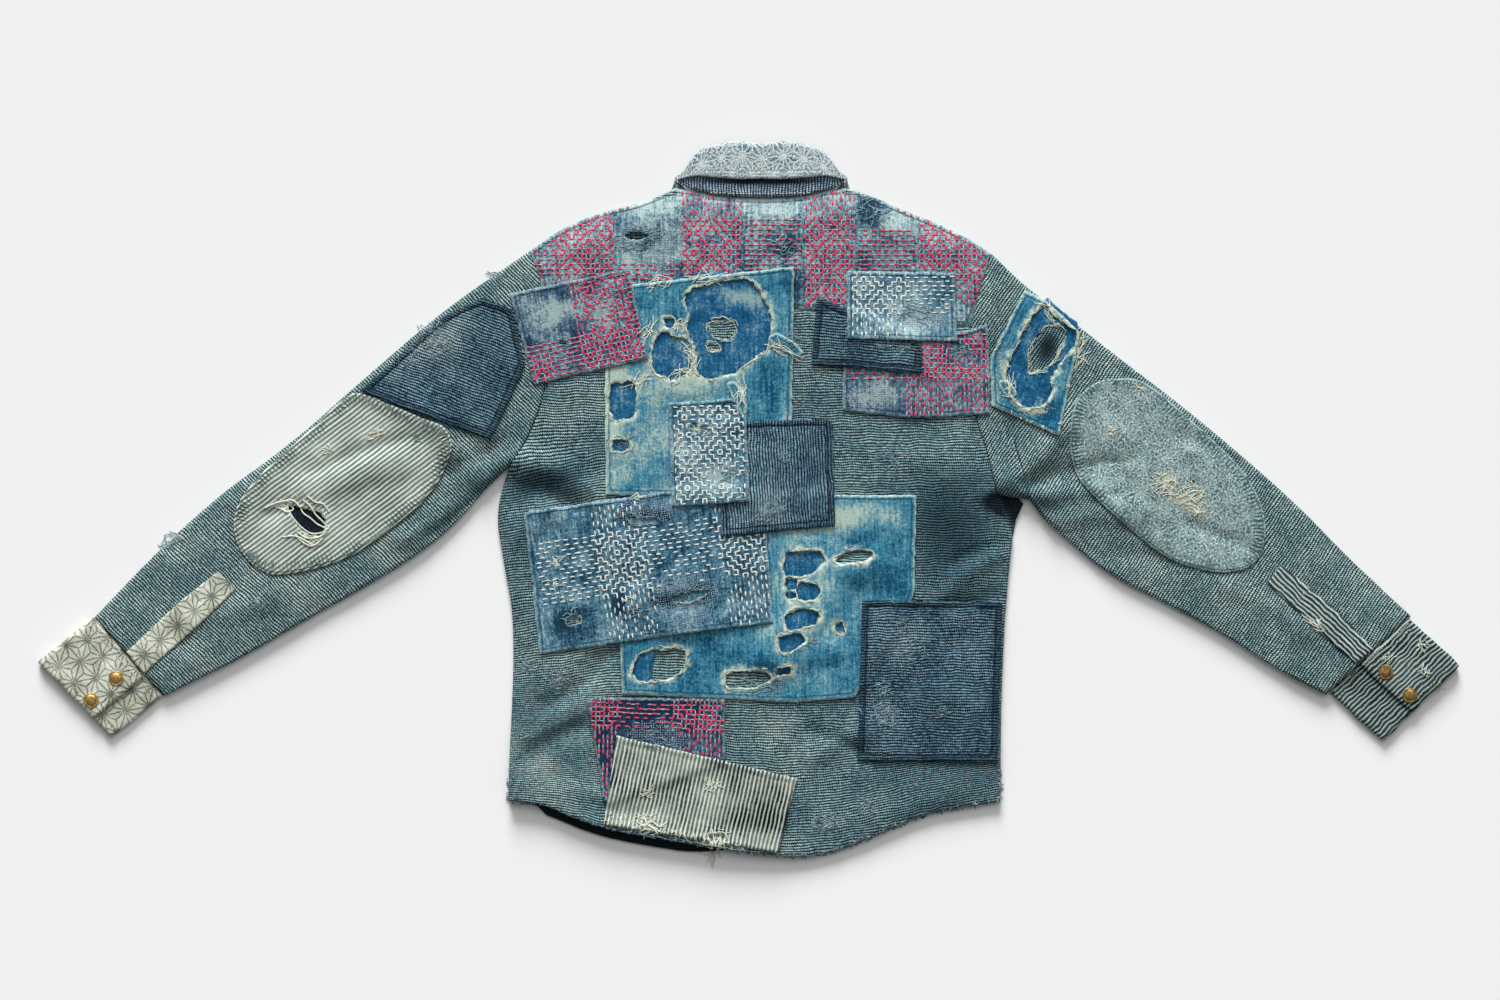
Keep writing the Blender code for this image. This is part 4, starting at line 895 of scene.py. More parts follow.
def cuff(side, material, turn):
    """A band laid flat: from the end of its lap over the top, round below, and back up under the lap."""
    seam, rim, over, under_lap = CUFFS[side]
    seam, rim = np.array(seam, float), np.array(rim, float)
    seam[:, 0] += 0.35 * (1 if side == "right" else -1)
    width = np.linalg.norm(seam[1] - seam[0])
    half = 1.0
    top, under, bottom = LOFT + 0.3 - half, LOFT - 3 * half - 0.4, half
    big, small = (top - bottom) / 2, (under - bottom) / 2
    left, right = big + half, width - small - half
    # Where the band runs, at what height, and which way its outer side faces
    path = [(x, top, 90) for x in np.linspace(over * width, left + 2, 26)]
    lap_end = len(path)
    path += [(left - big * np.sin(a), bottom + big + big * np.cos(a), 90 + np.degrees(a))
             for a in np.linspace(0, np.pi, 9)]
    over_lap = list(path)
    path += [(x, bottom, 270) for x in np.linspace(left + 5, right - 5, 12)]
    below = len(path) - 1
    path += [(right + small * np.sin(a), bottom + small - small * np.cos(a), 270 + np.degrees(a))
             for a in np.linspace(0, np.pi, 8)]
    path += [(x, under, 450) for x in np.linspace(right - 3, under_lap * width, 14)]
    depths = np.linspace(0, 1, 19)
    rings, weave, edge = [], [], []
    for k, (x, z, facing) in enumerate(path):
        out = np.array((np.cos(np.radians(facing)), np.sin(np.radians(facing)))) * half
        ring = []
        for sign, order in ((1, depths), (-1, depths[::-1])):
            for share_in in order:
                end = min(share_in, 1 - share_in) * CUFF_DEPTH
                thin = 0.55 if end < 0.5 else 1.0
                share = (x + sign * out[0] * thin) / width
                near, far = seam[0] + (seam[1] - seam[0]) * share, rim[0] + (rim[1] - rim[0]) * share
                at = near + (far - near) * share_in
                at = at + (0.9 * float(undulation(at, 13, 21)), 0.9 * float(undulation(at, 13, 22)))
                pucker = 0.6 * float(undulation(at, 10, 12)) - 0.35 * np.exp(-(((end - 3.5) / 1.3) ** 2)) * (sign > 0)
                ring.append((*at, z + sign * out[1] * thin + pucker * (z > 6) * (abs(out[1]) > 0.5)))
                weave.append(turned(at, turn))
                edge.append(min(end, max(0, over * width - x) if k < lap_end else FAR))
        rings.append(ring)
    tube("cuff_" + side, rings, material, weave, edge)
    for strip, level in ((path[below:], under + half), (over_lap, top + half)):
        x = [p[0] for p in strip]
        near, far = (end[0] + (end[1] - end[0]) * np.array([[min(x)], [max(x)]]) / width for end in (seam, rim))
        raise_pile(np.array([near[0], near[1], far[1], far[0]]), level)


def collar(name, first, last, level, thickness, tuck, material):
    """One layer of the collar, which runs from a front end round the back to the other. first and last are the
    columns of its edges, and tuck is how far its hem is drawn down at the fold."""
    table = np.array(COLLAR_ROWS, float)
    at = np.linspace(0, len(table) - 1, 64)
    smooth = rounded(table)
    places = np.linspace(0, len(table) - 1, len(smooth))
    fine = np.column_stack([np.interp(at, places, column) for column in smooth.T])
    fine[:, 0] = np.clip(fine[:, 0], 0, 180)
    rows = [(1, row) for row in fine] + [(-1, row) for row in fine[-2::-1]]
    rings, weave, edge, walk, before = [], [], [], 0.0, None
    for mirror, row in rows:
        turn = np.radians(row[0])
        start, end = row[first : first + 2], row[last : last + 2]
        side = np.array((-mirror * np.sin(turn), 0.0, -np.cos(turn)))
        flat = max(0.0, 2 * abs(np.cos(turn)) - 1)
        away = (start - end) / np.linalg.norm(start - end)
        spots = [(start + away * 2.2 * flat, tuck * flat), (start + away * 1.7 * flat, tuck * 0.45 * flat),
                 (start + away * 0.7 * flat, 0.0)] if tuck else [(start, 0.0)]
        spots += [(start + (end - start) * share, 0.0) for share in np.linspace(0, 1, 12)[1:]]
        wide = level + (0.5 * np.sin(turn) if tuck else 0)
        line = []
        for p, drop in spots:
            x, y = CENTRE - mirror * p[0], p[1]
            calm = 0.22 * float(undulation((x, y), 13, 21)) * flat * bool(tuck)
            line.append(np.array((x, y, COLLAR_MIDDLE)) + side * (wide - drop + calm))
        reach = np.concatenate([[0], np.cumsum([np.linalg.norm(b - a) for a, b in zip(line, line[1:])])])
        thin = np.full(len(line), thickness / 2)
        thin[[0, -1]] *= 0.6
        ring = [p + side * t for p, t in zip(line, thin)] + [p - side * t for p, t in zip(line[::-1], thin[::-1])]
        middle = line[len(line) // 2]
        walk += 0 if before is None else float(np.linalg.norm(middle - before))
        before = middle
        rings.append(ring)
        weave.append([(walk, r) for r in reach] + [(walk, r) for r in reach[::-1]])
        edge.append(list(reach[-1] - reach) + list((reach[-1] - reach)[::-1]))
    tube(name, rings, material, weave, edge, np.array(weave)[..., 0])


def copied(node, material):
    """A plain hidden panel with the form of its CAD node, in finer faces, pushed out where it is seen, and painted
    almost black there as the shadow under the lifted hem and in the right armpit's hollow.
    """
    bm = bmesh.new()
    bm.from_mesh(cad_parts[node].data)
    bmesh.ops.remove_doubles(bm, verts=bm.verts, dist=1e-6)
    bmesh.ops.subdivide_edges(bm, edges=bm.edges, cuts=1, use_grid_fill=True)
    bmesh.ops.triangulate(bm, faces=bm.faces)
    points = np.array([v.co[:] for v in bm.verts]) / MM
    x, y = points[:, 0].copy(), points[:, 1].copy()
    hem = soft_step((-y - 230) / 60) * soft_step((x + 222) / 24) * soft_step((20 - x) / 90)
    arm = np.exp(-(((x - 250) / 24) ** 2) - ((y - 2) / 20) ** 2)
    points[:, 1] -= 12 * hem
    points[:, :2] += arm[:, None] * (27.0, -9.0)
    bm.verts.index_update()
    faces = [[v.index for v in f.verts] for f in bm.faces]
    bm.free()
    fields = marks_on(node, points[:, :2], FAR)
    # Painted shadow: the pushed-out strips are darkened almost to black
    fields["fade"] = -2.0 * (hem + arm)
    solid(node, points, faces, material, points[:, :2], fields)


# ---------------------------------------------------------------- node webs

TURN = 2 * np.pi


def join(tree, slot, value):
    """Feeds a socket from a wire, or sets it to a number or a vector."""
    if isinstance(value, Wire):
        tree.links.new(value.socket, slot)
    elif value is not None:
        slot.default_value = value


class Wire:
    """A socket's value, with arithmetic on it made of Math nodes."""

    def __init__(self, tree, socket):
        self.tree, self.socket = tree, socket

    def do(self, operation, *others, clamp=False):
        node = self.tree.nodes.new("ShaderNodeMath")
        node.operation, node.use_clamp = operation, clamp
        for slot, value in zip(node.inputs, (self, *others)):
            join(self.tree, slot, value)
        return Wire(self.tree, node.outputs[0])

    def __add__(self, other):
        return self.do("ADD", other)

    def __sub__(self, other):
        return self.do("SUBTRACT", other)

    def __rsub__(self, other):
        return (self * -1.0) + other

    def __mul__(self, other):
        return self.do("MULTIPLY", other)

    def __truediv__(self, other):
        return self.do("DIVIDE", other)

    __radd__, __rmul__ = __add__, __mul__

    def held(self):
        return self.do("ADD", 0.0, clamp=True)

    def ramp(self, low, high):
        """0 below low, 1 above high, and smooth between."""
        node = self.tree.nodes.new("ShaderNodeMapRange")
        node.interpolation_type = "SMOOTHSTEP"
        for slot, value in zip(node.inputs, (self, low, high, 0.0, 1.0)):
            join(self.tree, slot, value)
        return Wire(self.tree, node.outputs[0])

    def below(self, low, high):
        """1 below low, 0 above high, and smooth between."""
        return 1.0 - self.ramp(low, high)

    def ridge(self, a, b, c, d):
        """1 from b to c, and 0 before a and after d."""
        return self.ramp(a, b) - self.ramp(c, d)


def put(tree, kind, output=0, settings=(), **inputs):
    """Adds a node and gives one of its outputs. Inputs are named as the sockets are, with _ for a space."""
    node = tree.nodes.new(kind)
    for name, value in dict(settings).items():
        setattr(node, name, value)
    for name, value in inputs.items():
        join(tree, node.inputs[name.replace("_", " ")], value)
    return Wire(tree, node.outputs[output])


def split(tree, vector):
    node = tree.nodes.new("ShaderNodeSeparateXYZ")
    join(tree, node.inputs[0], vector)
    return [Wire(tree, socket) for socket in node.outputs[:2]]


def merged(tree, x, y, z=0.0):
    return put(tree, "ShaderNodeCombineXYZ", X=x, Y=y, Z=z)


def noise(tree, place, scale, detail=2.0, stretch=(1.0, 1.0), rough=0.55):
    """Noise of that many features to a millimetre, drawn out along one of the cloth's directions."""
    x, y = split(tree, place)
    return put(tree, "ShaderNodeTexNoise", Vector=merged(tree, x * stretch[0], y * stretch[1]), Scale=scale,
               Detail=detail, Roughness=rough)


def tone(code):
    """A colour code as linear light."""
    shares = [int(code[i : i + 2], 16) / 255 for i in (0, 2, 4)]
    return (*[s / 12.92 if s < 0.04 else ((s + 0.055) / 1.055) ** 2.4 for s in shares], 1.0)


def mixed(tree, share, first, second):
    """Colour between two, each a code or a wire."""
    node = tree.nodes.new("ShaderNodeMix")
    node.data_type = "RGBA"
    for slot, value in zip((node.inputs[0], node.inputs[6], node.inputs[7]), (share, first, second)):
        join(tree, slot, tone(value) if isinstance(value, str) else value)
    return Wire(tree, node.outputs[2])


def bundle(name, takes, gives, build):
    """A shader node group of the cloth's coordinates and the numbers it takes. gives lists its outputs."""
    tree = bpy.data.node_groups.new(name, "ShaderNodeTree")
    tree.interface.new_socket("Cloth", in_out="INPUT", socket_type="NodeSocketVector")
    for label in takes:
        tree.interface.new_socket(label, in_out="INPUT", socket_type="NodeSocketFloat")
    for label in gives:
        tree.interface.new_socket(label, in_out="OUTPUT", socket_type="NodeSocketFloat")
    taken, given = tree.nodes.new("NodeGroupInput"), tree.nodes.new("NodeGroupOutput")
    results = build(tree, *[Wire(tree, socket) for socket in taken.outputs[: len(takes) + 1]])
    for slot, value in zip(given.inputs, results if isinstance(results, tuple) else (results,)):
        join(tree, slot, value)
    return tree


def use(tree, inner, *values):
    """Adds a node group and gives its output, or a list of them."""
    node = tree.nodes.new("ShaderNodeGroup")
    node.node_tree = inner
    for slot, value in zip(node.inputs, values):
        join(tree, slot, value)
    found = [Wire(tree, socket) for socket in node.outputs]
    return found[0] if len(found) == 1 else found


def knit_rows(tree, cloth, row, stitch, slack):
    """The wrong side of a plain knit: rows of small loops that wave a little, with gaps between them, which the looks
    paint dark as shade.
    """
    x, y = split(tree, cloth)
    sway = noise(tree, cloth, 0.045, 1.0) * 5.0 + noise(tree, cloth, 0.3, 1.0) * slack
    y = (y + sway) / row
    line = y.do("FLOOR")
    start = (line * 12.9898).do("SINE") * 0.5  # a different one for every row
    turn = ((x + noise(tree, cloth, 0.35, 0.0) * slack * 2.0) / stitch + start) * TURN
    chance = put(tree, "ShaderNodeTexWhiteNoise", settings={"noise_dimensions": "2D"},
                 Vector=merged(tree, (turn / TURN).do("FLOOR"), line))
    aside = (y - line - 0.5) * 2.0 + turn.do("SINE") * 0.2
    across = (1.0 - aside * aside).held()
    loop = across * ((turn + 1.3).do("SINE") * 0.16 + 0.84)
    return loop * (chance * 0.3 + 0.8), loop * 0.45 + chance * loop * 0.1


def plain_weave(tree, cloth, pitch):
    """Threads that pass over and under each other, with slubs."""
    x, y = split(tree, cloth)
    x = (x + noise(tree, cloth, 0.5, 1.0) * 0.5) / pitch
    y = (y + noise(tree, cloth, 0.45, 1.0) * 0.5) / pitch
    warp, weft = (x * np.pi).do("SINE"), (y * np.pi).do("SINE")
    checks = (warp * weft + 1.0) * 0.5
    slubs = noise(tree, cloth, 1.4, 1.0, (0.12, 1.0)) + noise(tree, cloth, 1.4, 1.0, (1.0, 0.12)) - 1.0
    return (checks * 0.5 + slubs * 1.1 + 0.25).held(), checks * 0.09 + slubs * 0.2


def mottling(tree, cloth, size):
    """Cloudy fading: large soft clouds broken up by finer ones and by streaks along the threads."""
    clouds = put(tree, "ShaderNodeTexNoise", Vector=cloth, Scale=size.do("POWER", -1.0), Detail=5.0, Roughness=0.62)
    streaks = noise(tree, cloth, 0.35, 3.0, (0.18, 1.0)) * 0.5 + noise(tree, cloth, 0.35, 3.0, (1.0, 0.18)) * 0.5
    return (clouds * 0.66 + streaks * 0.34).ramp(0.36, 0.64)


def loose_fibre(tree, cloth, amount):
    """Fibres that show where the cloth is worn: more of them as amount goes from 0 to 1."""
    one = noise(tree, cloth, 1.1, 3.0, (0.22, 1.0), 0.7)
    other = noise(tree, cloth, 1.1, 3.0, (1.0, 0.22), 0.7)
    strands = one.do("MAXIMUM", other)
    low = 0.86 - amount * 0.42
    return strands.ramp(low, low + 0.1)


def bands(tree, cloth, pitch, share):
    """Pale stripes along the cloth's second direction, unevenly woven."""
    x, y = split(tree, cloth)
    x = (x + noise(tree, cloth, 0.04, 1.0) * 1.6 + noise(tree, cloth, 0.5, 1.0) * 0.4) / pitch
    number = x.do("FLOOR")
    away = (x - number - 0.5).do("ABSOLUTE") * 2.0
    chance = put(tree, "ShaderNodeTexWhiteNoise", settings={"noise_dimensions": "1D"}, W=number)
    return away.below(share - 0.12, share + 0.12) * (chance * 0.25 + 0.75)


def hemp_leaf(tree, cloth, side, width):
    """The traditional hemp leaf: a triangular net with three spokes in every triangle."""
    x, y = split(tree, cloth)
    x, y = x + noise(tree, cloth, 0.06, 1.0) * 3.0, y + noise(tree, cloth, 0.07, 1.0) * 3.0
    rise, reach = side * 3**0.5 / 2, side / 3**0.5

    def seen_along(degrees):
        cos, sin = float(np.cos(np.radians(degrees))), float(np.sin(np.radians(degrees)))
        return x * cos + y * sin, y * cos - x * sin

    total = None
    for k in range(3):
        aside = seen_along(60 * k)[1] / rise
        away = ((aside + 0.5).do("FRACT") - 0.5).do("ABSOLUTE") * rise
        net = away.below(width * 0.4, width)
        along, aside = seen_along(30 + 60 * k)
        aside = aside / (side / 2)
        number = (aside + 0.5).do("FLOOR")
        away = (aside - number).do("ABSOLUTE") * (side / 2)
        odd = (number * 0.5).do("FRACT") * 2.0
        place = (along - odd * rise) / (2 * rise)
        near = ((place + 0.5).do("FRACT") - 0.5).do("ABSOLUTE") * (2 * rise)
        spoke = away.below(width * 0.4, width) * near.below(reach * 0.97, reach * 1.03)
        total = (total.do("MAXIMUM", net) if total else net).do("MAXIMUM", spoke)
    return total


knit_group = bundle("knit rows", ["Row", "Stitch", "Slack"], ["Yarn", "Height"], knit_rows)
weave_group = bundle("plain weave", ["Pitch"], ["Thread", "Height"], plain_weave)
mottle_group = bundle("mottling", ["Size"], ["Cloud"], mottling)
fibre_group = bundle("loose fibre", ["Amount"], ["Fibre"], loose_fibre)
stripe_group = bundle("stripes", ["Pitch", "Share"], ["Stripe"], bands)
leaf_group = bundle("hemp leaf", ["Side", "Width"], ["Line"], hemp_leaf)


def worn_through(tree, cloth, marks, colour, height, fray, reach=0.6):
    """Fibres at worn spots and along edges and tears, and bare pale cloth where it is worn most."""
    wear = marks["worn"] + marks["torn"].below(0.0, 4.0) * reach + marks["edge"].below(0.0, 2.2) * 0.35
    fibre = use(tree, fibre_group, cloth, wear)
    lumps = noise(tree, cloth, 0.45, 4.0, rough=0.7)
    bare = (marks["worn"] - 0.62 + (lumps - 0.5) * 3.2).ramp(0.1, 0.45)
    colour = mixed(tree, (bare * (0.35 + lumps * 0.9)).held(), colour, fray)
    return mixed(tree, fibre * 0.85, colour, fray), height + fibre * 0.3 + bare * lumps * 0.8


def blank_material(name):
    """A new material, its node tree and its shader's sockets."""
    made = bpy.data.materials.new(name)
    made.use_nodes = True
    return made, made.node_tree, made.node_tree.nodes["Principled BSDF"].inputs


def cloth_material(name, look):
    """A cloth: look gives its colour and its height in millimetres from the cloth's coordinates."""
    made, tree, shader = blank_material(name)
    cloth = put(tree, "ShaderNodeUVMap", settings={"uv_map": "cloth"})
    marks = {label: put(tree, "ShaderNodeAttribute", 2, settings={"attribute_name": label})
             for label in ("edge", "run", "torn", "fade", "worn")}
    colour, height = look(tree, cloth, marks)
    join(tree, shader["Base Color"], colour)
    join(tree, shader["Normal"], put(tree, "ShaderNodeBump", Strength=1.0, Distance=MM, Height=height))
    join(tree, shader["Roughness"], noise(tree, cloth, 0.8, 1.0) * 0.16 + 0.82)
    for socket, value in (("Specular IOR Level", 0.1), ("Sheen Weight", 0.05), ("Sheen Roughness", 0.5)):
        shader[socket].default_value = value
    return made


# The looks below share three arguments: size is the size of the clouds, and fray the colour of loose fibres.


def knit_look(gap_shade, yarn, other, pale, row=2.7, slack=0.7, size=60.0, rim=0.0, ribs=False):
    """Knit in two mixed yarns; the first colour is painted shade in the gaps between the loops. rim is a deeper
    colour along the hem, ribs turns the rows upright.
    """
    def look(tree, cloth, marks):
        if ribs:
            x, y = split(tree, cloth)
            cloth = merged(tree, y, x)
        loops, height = use(tree, knit_group, cloth, row, 2.3, slack)
        cloud = use(tree, mottle_group, cloth, size)
        flecks = noise(tree, cloth, 0.5, 2.0, (0.45, 1.0), 0.65).ramp(0.42, 0.59)
        colour = mixed(tree, cloud * 0.48 + flecks * 0.52, other, yarn)
        # Below zero the spots' amount darkens the knit, mostly as painted shade: first towards the deeper yarn, then
        # to the gaps' dark.
        deep = (marks["fade"] * -1.0).held()
        colour = mixed(tree, (deep * 1.4).held() * 0.8, colour, other)
        colour = mixed(tree, (marks["fade"] + (cloud - 0.5) * 0.4).ramp(0.0, 1.0) * 0.8, colour, pale)
        # The loops show the yarn; between them the gaps are painted dark as shade
        shade = (loops.ramp(0.36, 0.77) + marks["fade"] * 0.05).held()
        colour = mixed(tree, shade, gap_shade, colour)
        colour = mixed(tree, deep.ramp(0.3, 1.0) * 0.95, colour, gap_shade)
        if rim:
            hem = marks["edge"].below(5.0, 6.2)
            colour = mixed(tree, hem * rim, colour, mixed(tree, loops.ramp(0.3, 0.9), gap_shade, other))
            # Painted shade in the groove inside the hem, which is also pressed in
            groove = marks["edge"].ridge(4.6, 5.4, 6.2, 7.4)
            colour = mixed(tree, groove * 0.7, colour, gap_shade)
            height = height - groove * 0.5
        return worn_through(tree, cloth, marks, colour, height * 2.4, "D5DCCB")
    return look


def cotton_look(deep, mid, pale, pitch, size, fray, edging="", twill=0.0, spread=1.0, hem=0.0):
    """Woven cotton faded in clouds. edging is the colour of its worn edges, twill the strength of its diagonal,
    spread how far the fading reaches, and hem how dark the groove inside its hem is painted, as shade. Without hem
    there is no groove and no pale turned edge."""
    def look(tree, cloth, marks):
        thread, height = use(tree, weave_group, cloth, pitch)
        cloud = use(tree, mottle_group, cloth, size)
        streak = noise(tree, cloth, 0.4, 4.0, (1.0, 0.07), 0.6).ramp(0.3, 0.7)
        small = noise(tree, cloth, 0.22, 4.0, rough=0.65).ramp(0.25, 0.75)
        slubs = noise(tree, cloth, 0.42, 2.0, rough=0.7).ramp(0.36, 0.64)
        share = (marks["fade"] + (cloud * 0.44 + streak * 0.28 + small * 0.28 - 0.5) * spread + 0.42
                 + (slubs - 0.5) * 0.28 * spread)
        colour = mixed(tree, share.ramp(0.0, 0.5), deep, mid)
        colour = mixed(tree, share.ramp(0.4, 1.05), colour, pale)
        if twill:
            x, y = split(tree, cloth)
            lines = ((x + y) * (TURN / 1.5)).do("SINE") * 0.5 + 0.5
            colour = mixed(tree, lines * twill, colour, deep)
            height = height + lines * 0.06
        colour = mixed(tree, (1.0 - thread) * 0.6, colour, deep)
        if hem:
            # The groove inside the hem is painted dark as shade. The turned edge outside it is paler, as worn cloth
            # and as a painted highlight on the hem's ridge.
            groove = marks["edge"].ridge(3.2, 3.8, 4.4, 5.6)
            colour = mixed(tree, groove * hem, colour, deep)
            ridge = marks["edge"].below(0.4, 3.4) * noise(tree, cloth, 0.5, 2.0).ramp(0.35, 0.65)
            colour = mixed(tree, ridge * 0.55, colour, pale)
            height = height - groove * 0.4
        if edging:
            broken = noise(tree, cloth, 0.13, 4.0, rough=0.7).ramp(0.36, 0.62)
            uneven = noise(tree, cloth, 0.05, 3.0, rough=0.6).ramp(0.3, 0.7) * 1.9 + 0.25
            near = (marks["torn"] / uneven).below(0.2, 5.0) * 1.05 + marks["edge"].below(0.3, 2.2) * 0.5
            colour = mixed(tree, (near * broken * 1.1).held(), colour, edging)
        return worn_through(tree, cloth, marks, colour, height, fray)
    return look


def striped_look(dark, light, pitch, share, fray="DDDAC2", second="", pleats=False, waver=0.8):
    """Striped cotton. second is a paler ground between the stripes, waver how far they bend."""
    def look(tree, cloth, marks):
        x, y = split(tree, cloth)
        x = x + (noise(tree, cloth, 0.05, 2.0) - 0.5) * (waver * 2.0)
        place = merged(tree, x, y)
        stripe = use(tree, stripe_group, place, pitch, share)
        thread, height = use(tree, weave_group, place, 0.8)
        cloud = use(tree, mottle_group, cloth, 40.0)
        base = mixed(tree, (cloud * 0.35 + marks["fade"] * 0.5).held(), dark, second or light)
        colour = mixed(tree, (stripe * (0.85 + cloud * 0.15) + marks["fade"] * 0.2).held(), base, light)
        colour = mixed(tree, (1.0 - thread) * 0.36, colour, dark)
        colour = mixed(tree, (marks["fade"] * -1.0).held() * 0.7, colour, dark)
        if pleats:
            colour, height = gathers(tree, cloth, marks, colour, height, dark)
        return worn_through(tree, cloth, marks, colour, height + stripe * 0.06, fray, 0.7)
    return look


def gathers(tree, cloth, marks, colour, height, dark):
    """Short pleats round a drawn-in edge, with the stitched groove outside them; the troughs between the pleats and
    the groove are painted dark as shade.
    """
    ridge = (marks["run"] * (TURN / 4.2) + noise(tree, cloth, 0.15, 1.0) * 7.0).do("SINE") * 0.5 + 0.5
    reach = marks["edge"].below(5.0, 16.0) * marks["edge"].ramp(1.8, 2.8)
    reach = reach * (noise(tree, cloth, 0.03, 1.0).ramp(0.38, 0.6) * 0.75 + 0.25)
    groove = marks["edge"].ridge(1.6, 2.2, 2.6, 3.6)
    colour = mixed(tree, (1.0 - ridge) * reach * 0.85 + groove * 0.5, colour, dark)
    return colour, height + ridge * reach * 1.1 - groove * 0.4


def leaf_look(ground, pale, line, side, width, strength, size, pleats=False, fray="D9D8BC", specks=0.95,
              deep="2B4A55"):
    """Cotton with a faded hemp leaf pattern. pleats adds the gathers round a drawn-in edge, specks a fine pepper."""
    def look(tree, cloth, marks):
        pattern = use(tree, leaf_group, cloth, side, width)
        thread, height = use(tree, weave_group, cloth, 0.8)
        cloud = use(tree, mottle_group, cloth, size)
        colour = mixed(tree, (cloud + marks["fade"] * 0.7).held(), ground, pale)
        broken = noise(tree, cloth, 1.1, 2.0).ramp(0.3, 0.55) * (1.15 - cloud * 0.5)
        pepper = noise(tree, cloth, 0.48, 3.0, rough=0.8)
        colour = mixed(tree, pepper.ramp(0.5, 0.4) * specks, colour, deep)
        colour = mixed(tree, pepper.ramp(0.52, 0.62) * specks, colour, line)
        colour = mixed(tree, pattern * broken * strength, colour, line)
        colour = mixed(tree, (1.0 - thread) * 0.38, colour, ground)
        if pleats:
            colour, height = gathers(tree, cloth, marks, colour, height, ground)
        return worn_through(tree, cloth, marks, colour, height, fray, 0.7)
    return look


OBJECT_PLACE = 3  # the Texture Coordinate node's output of places on the object


def thread_material(name, first, second, sheen=0.35):
    """Twisted cotton thread, each stitch a little different."""
    made, tree, shader = blank_material(name)
    x, y = (value * 1000.0 for value in split(tree, put(tree, "ShaderNodeTexCoord", OBJECT_PLACE)))
    cloud = noise(tree, merged(tree, x, y), 0.16, 3.0, rough=0.7).ramp(0.35, 0.65)
    twist = ((x + y) * (TURN / 0.55)).do("SINE") * 0.5 + 0.5
    # The twist's grooves are darkened a little as painted shade
    colour = mixed(tree, twist * 0.18, mixed(tree, cloud, first, second), (0.02, 0.02, 0.03, 1.0))
    join(tree, shader["Base Color"], colour)
    join(tree, shader["Normal"], put(tree, "ShaderNodeBump", Strength=1.0, Distance=MM, Height=twist * 0.12))
    join(tree, shader["Roughness"], cloud * 0.1 + 0.72)
    shader["Sheen Weight"].default_value = sheen
    return made


def brass_material(name, bright, dull, roughness):
    """Brass with dull, tarnished spots."""
    made, tree, shader = blank_material(name)
    place = put(tree, "ShaderNodeTexCoord", OBJECT_PLACE)
    tarnish = put(tree, "ShaderNodeTexNoise", Vector=place, Scale=260.0, Detail=6.0, Roughness=0.65).ramp(0.38, 0.66)
    fine = put(tree, "ShaderNodeTexNoise", Vector=place, Scale=2600.0, Detail=3.0)
    join(tree, shader["Base Color"], mixed(tree, tarnish, bright, dull))
    join(tree, shader["Roughness"], tarnish * 0.22 + fine * 0.1 + roughness)
    dents = tarnish * 0.5 + fine * 0.5
    join(tree, shader["Normal"], put(tree, "ShaderNodeBump", Strength=0.35, Distance=0.2 * MM, Height=dents))
    shader["Metallic"].default_value = 1.0
    return made


LOOKS = {
    # The first colour of each knit is the painted shade in its gaps
    "body knit": knit_look("03141A", "B2D0CC", "447387", "DCE8DC"),
    "sleeve knit": knit_look("04171E", "C0D8D3", "5C8790", "E4F0E4", row=2.85, size=44.0),
    "dark knit": knit_look("020B12", "8DB4C6", "1A465E", "BCD4D8", row=2.8, size=40.0, rim=0.6),
    "ribbed knit": knit_look("02101C", "96BED0", "234D68", "BCD2D8", row=2.84, size=36.0, rim=0.5),
    "stand knit": knit_look("050F1A", "C4D8E6", "5D7F99", "D0DCE6", row=2.96, slack=0.5, size=20.0, ribs=True),
    "dark lining": knit_look("04080F", "2C3A50", "162234", "445468", row=2.4, size=20.0),
    "inner denim": cotton_look("0A3A5A", "1F6C98", "A6C8C2", 0.9, 22.0, "B9CFC0", twill=0.15, spread=0.95),
    "denim": cotton_look("0A4767", "509BB2", "D2E8D2", 1.0, 34.0, "D3DCC0", "D3DEC8", twill=0.25, hem=0.7),
    "yoke ground": cotton_look("1B3850", "6D94A2", "CCE2DC", 0.9, 28.0, "A9C0C8", spread=1.5, hem=0.6),
    "rose ground": cotton_look("152C46", "4E7088", "B6CECC", 0.9, 24.0, "A9C0C8", spread=1.3, hem=0.7),
    "blue ground": cotton_look("0F3448", "52829A", "BCD8D8", 0.9, 30.0, "B9CBC6", spread=1.25, hem=0.6),
    "hickory": striped_look("03080D", "E2F0E2", 4.04, 0.41),
    "cuff stripe": striped_look("101F26", "C6D8CE", 4.1, 0.4, second="62797F", waver=3.6),
    "green stripe": striped_look("4A5E56", "F6FAF2", 4.14, 0.43, "E3DFC0", "B0C0B4", pleats=True),
    "grey leaf": leaf_look("40646A", "98B2B0", "E4EDE6", 25.0, 0.55, 0.5, 17.0, pleats=True, fray="E2E4C8"),
    "cream leaf": leaf_look("A9AF9A", "F0F2E6", "0C1510", 22.4, 1.1, 1.0, 22.0, specks=0.3, deep="5A6350"),
    "collar leaf": leaf_look("4C717E", "C2D5D6", "FBFDF8", 20.5, 0.85, 0.85, 15.0),
}
THREADS = {
    "rose thread": ("E42350", "D23D68"),
    "red thread": ("D22C52", "B5506B"),
    "dusk thread": ("859EB2", "BAC8D1"),
    "white thread": ("F8F6E9", "DFE5DF"),
    "navy thread": ("15222F", "31424F"),
    "cream yarn": ("F4F7E6", "DDE4CE", 0.2),
    "green yarn": ("E8EDD8", "BACCB8", 0.2),
    "blue yarn": ("35667A", "A5C2C6", 0.2),
}
MATERIALS = {name: cloth_material(name, look) for name, look in LOOKS.items()}
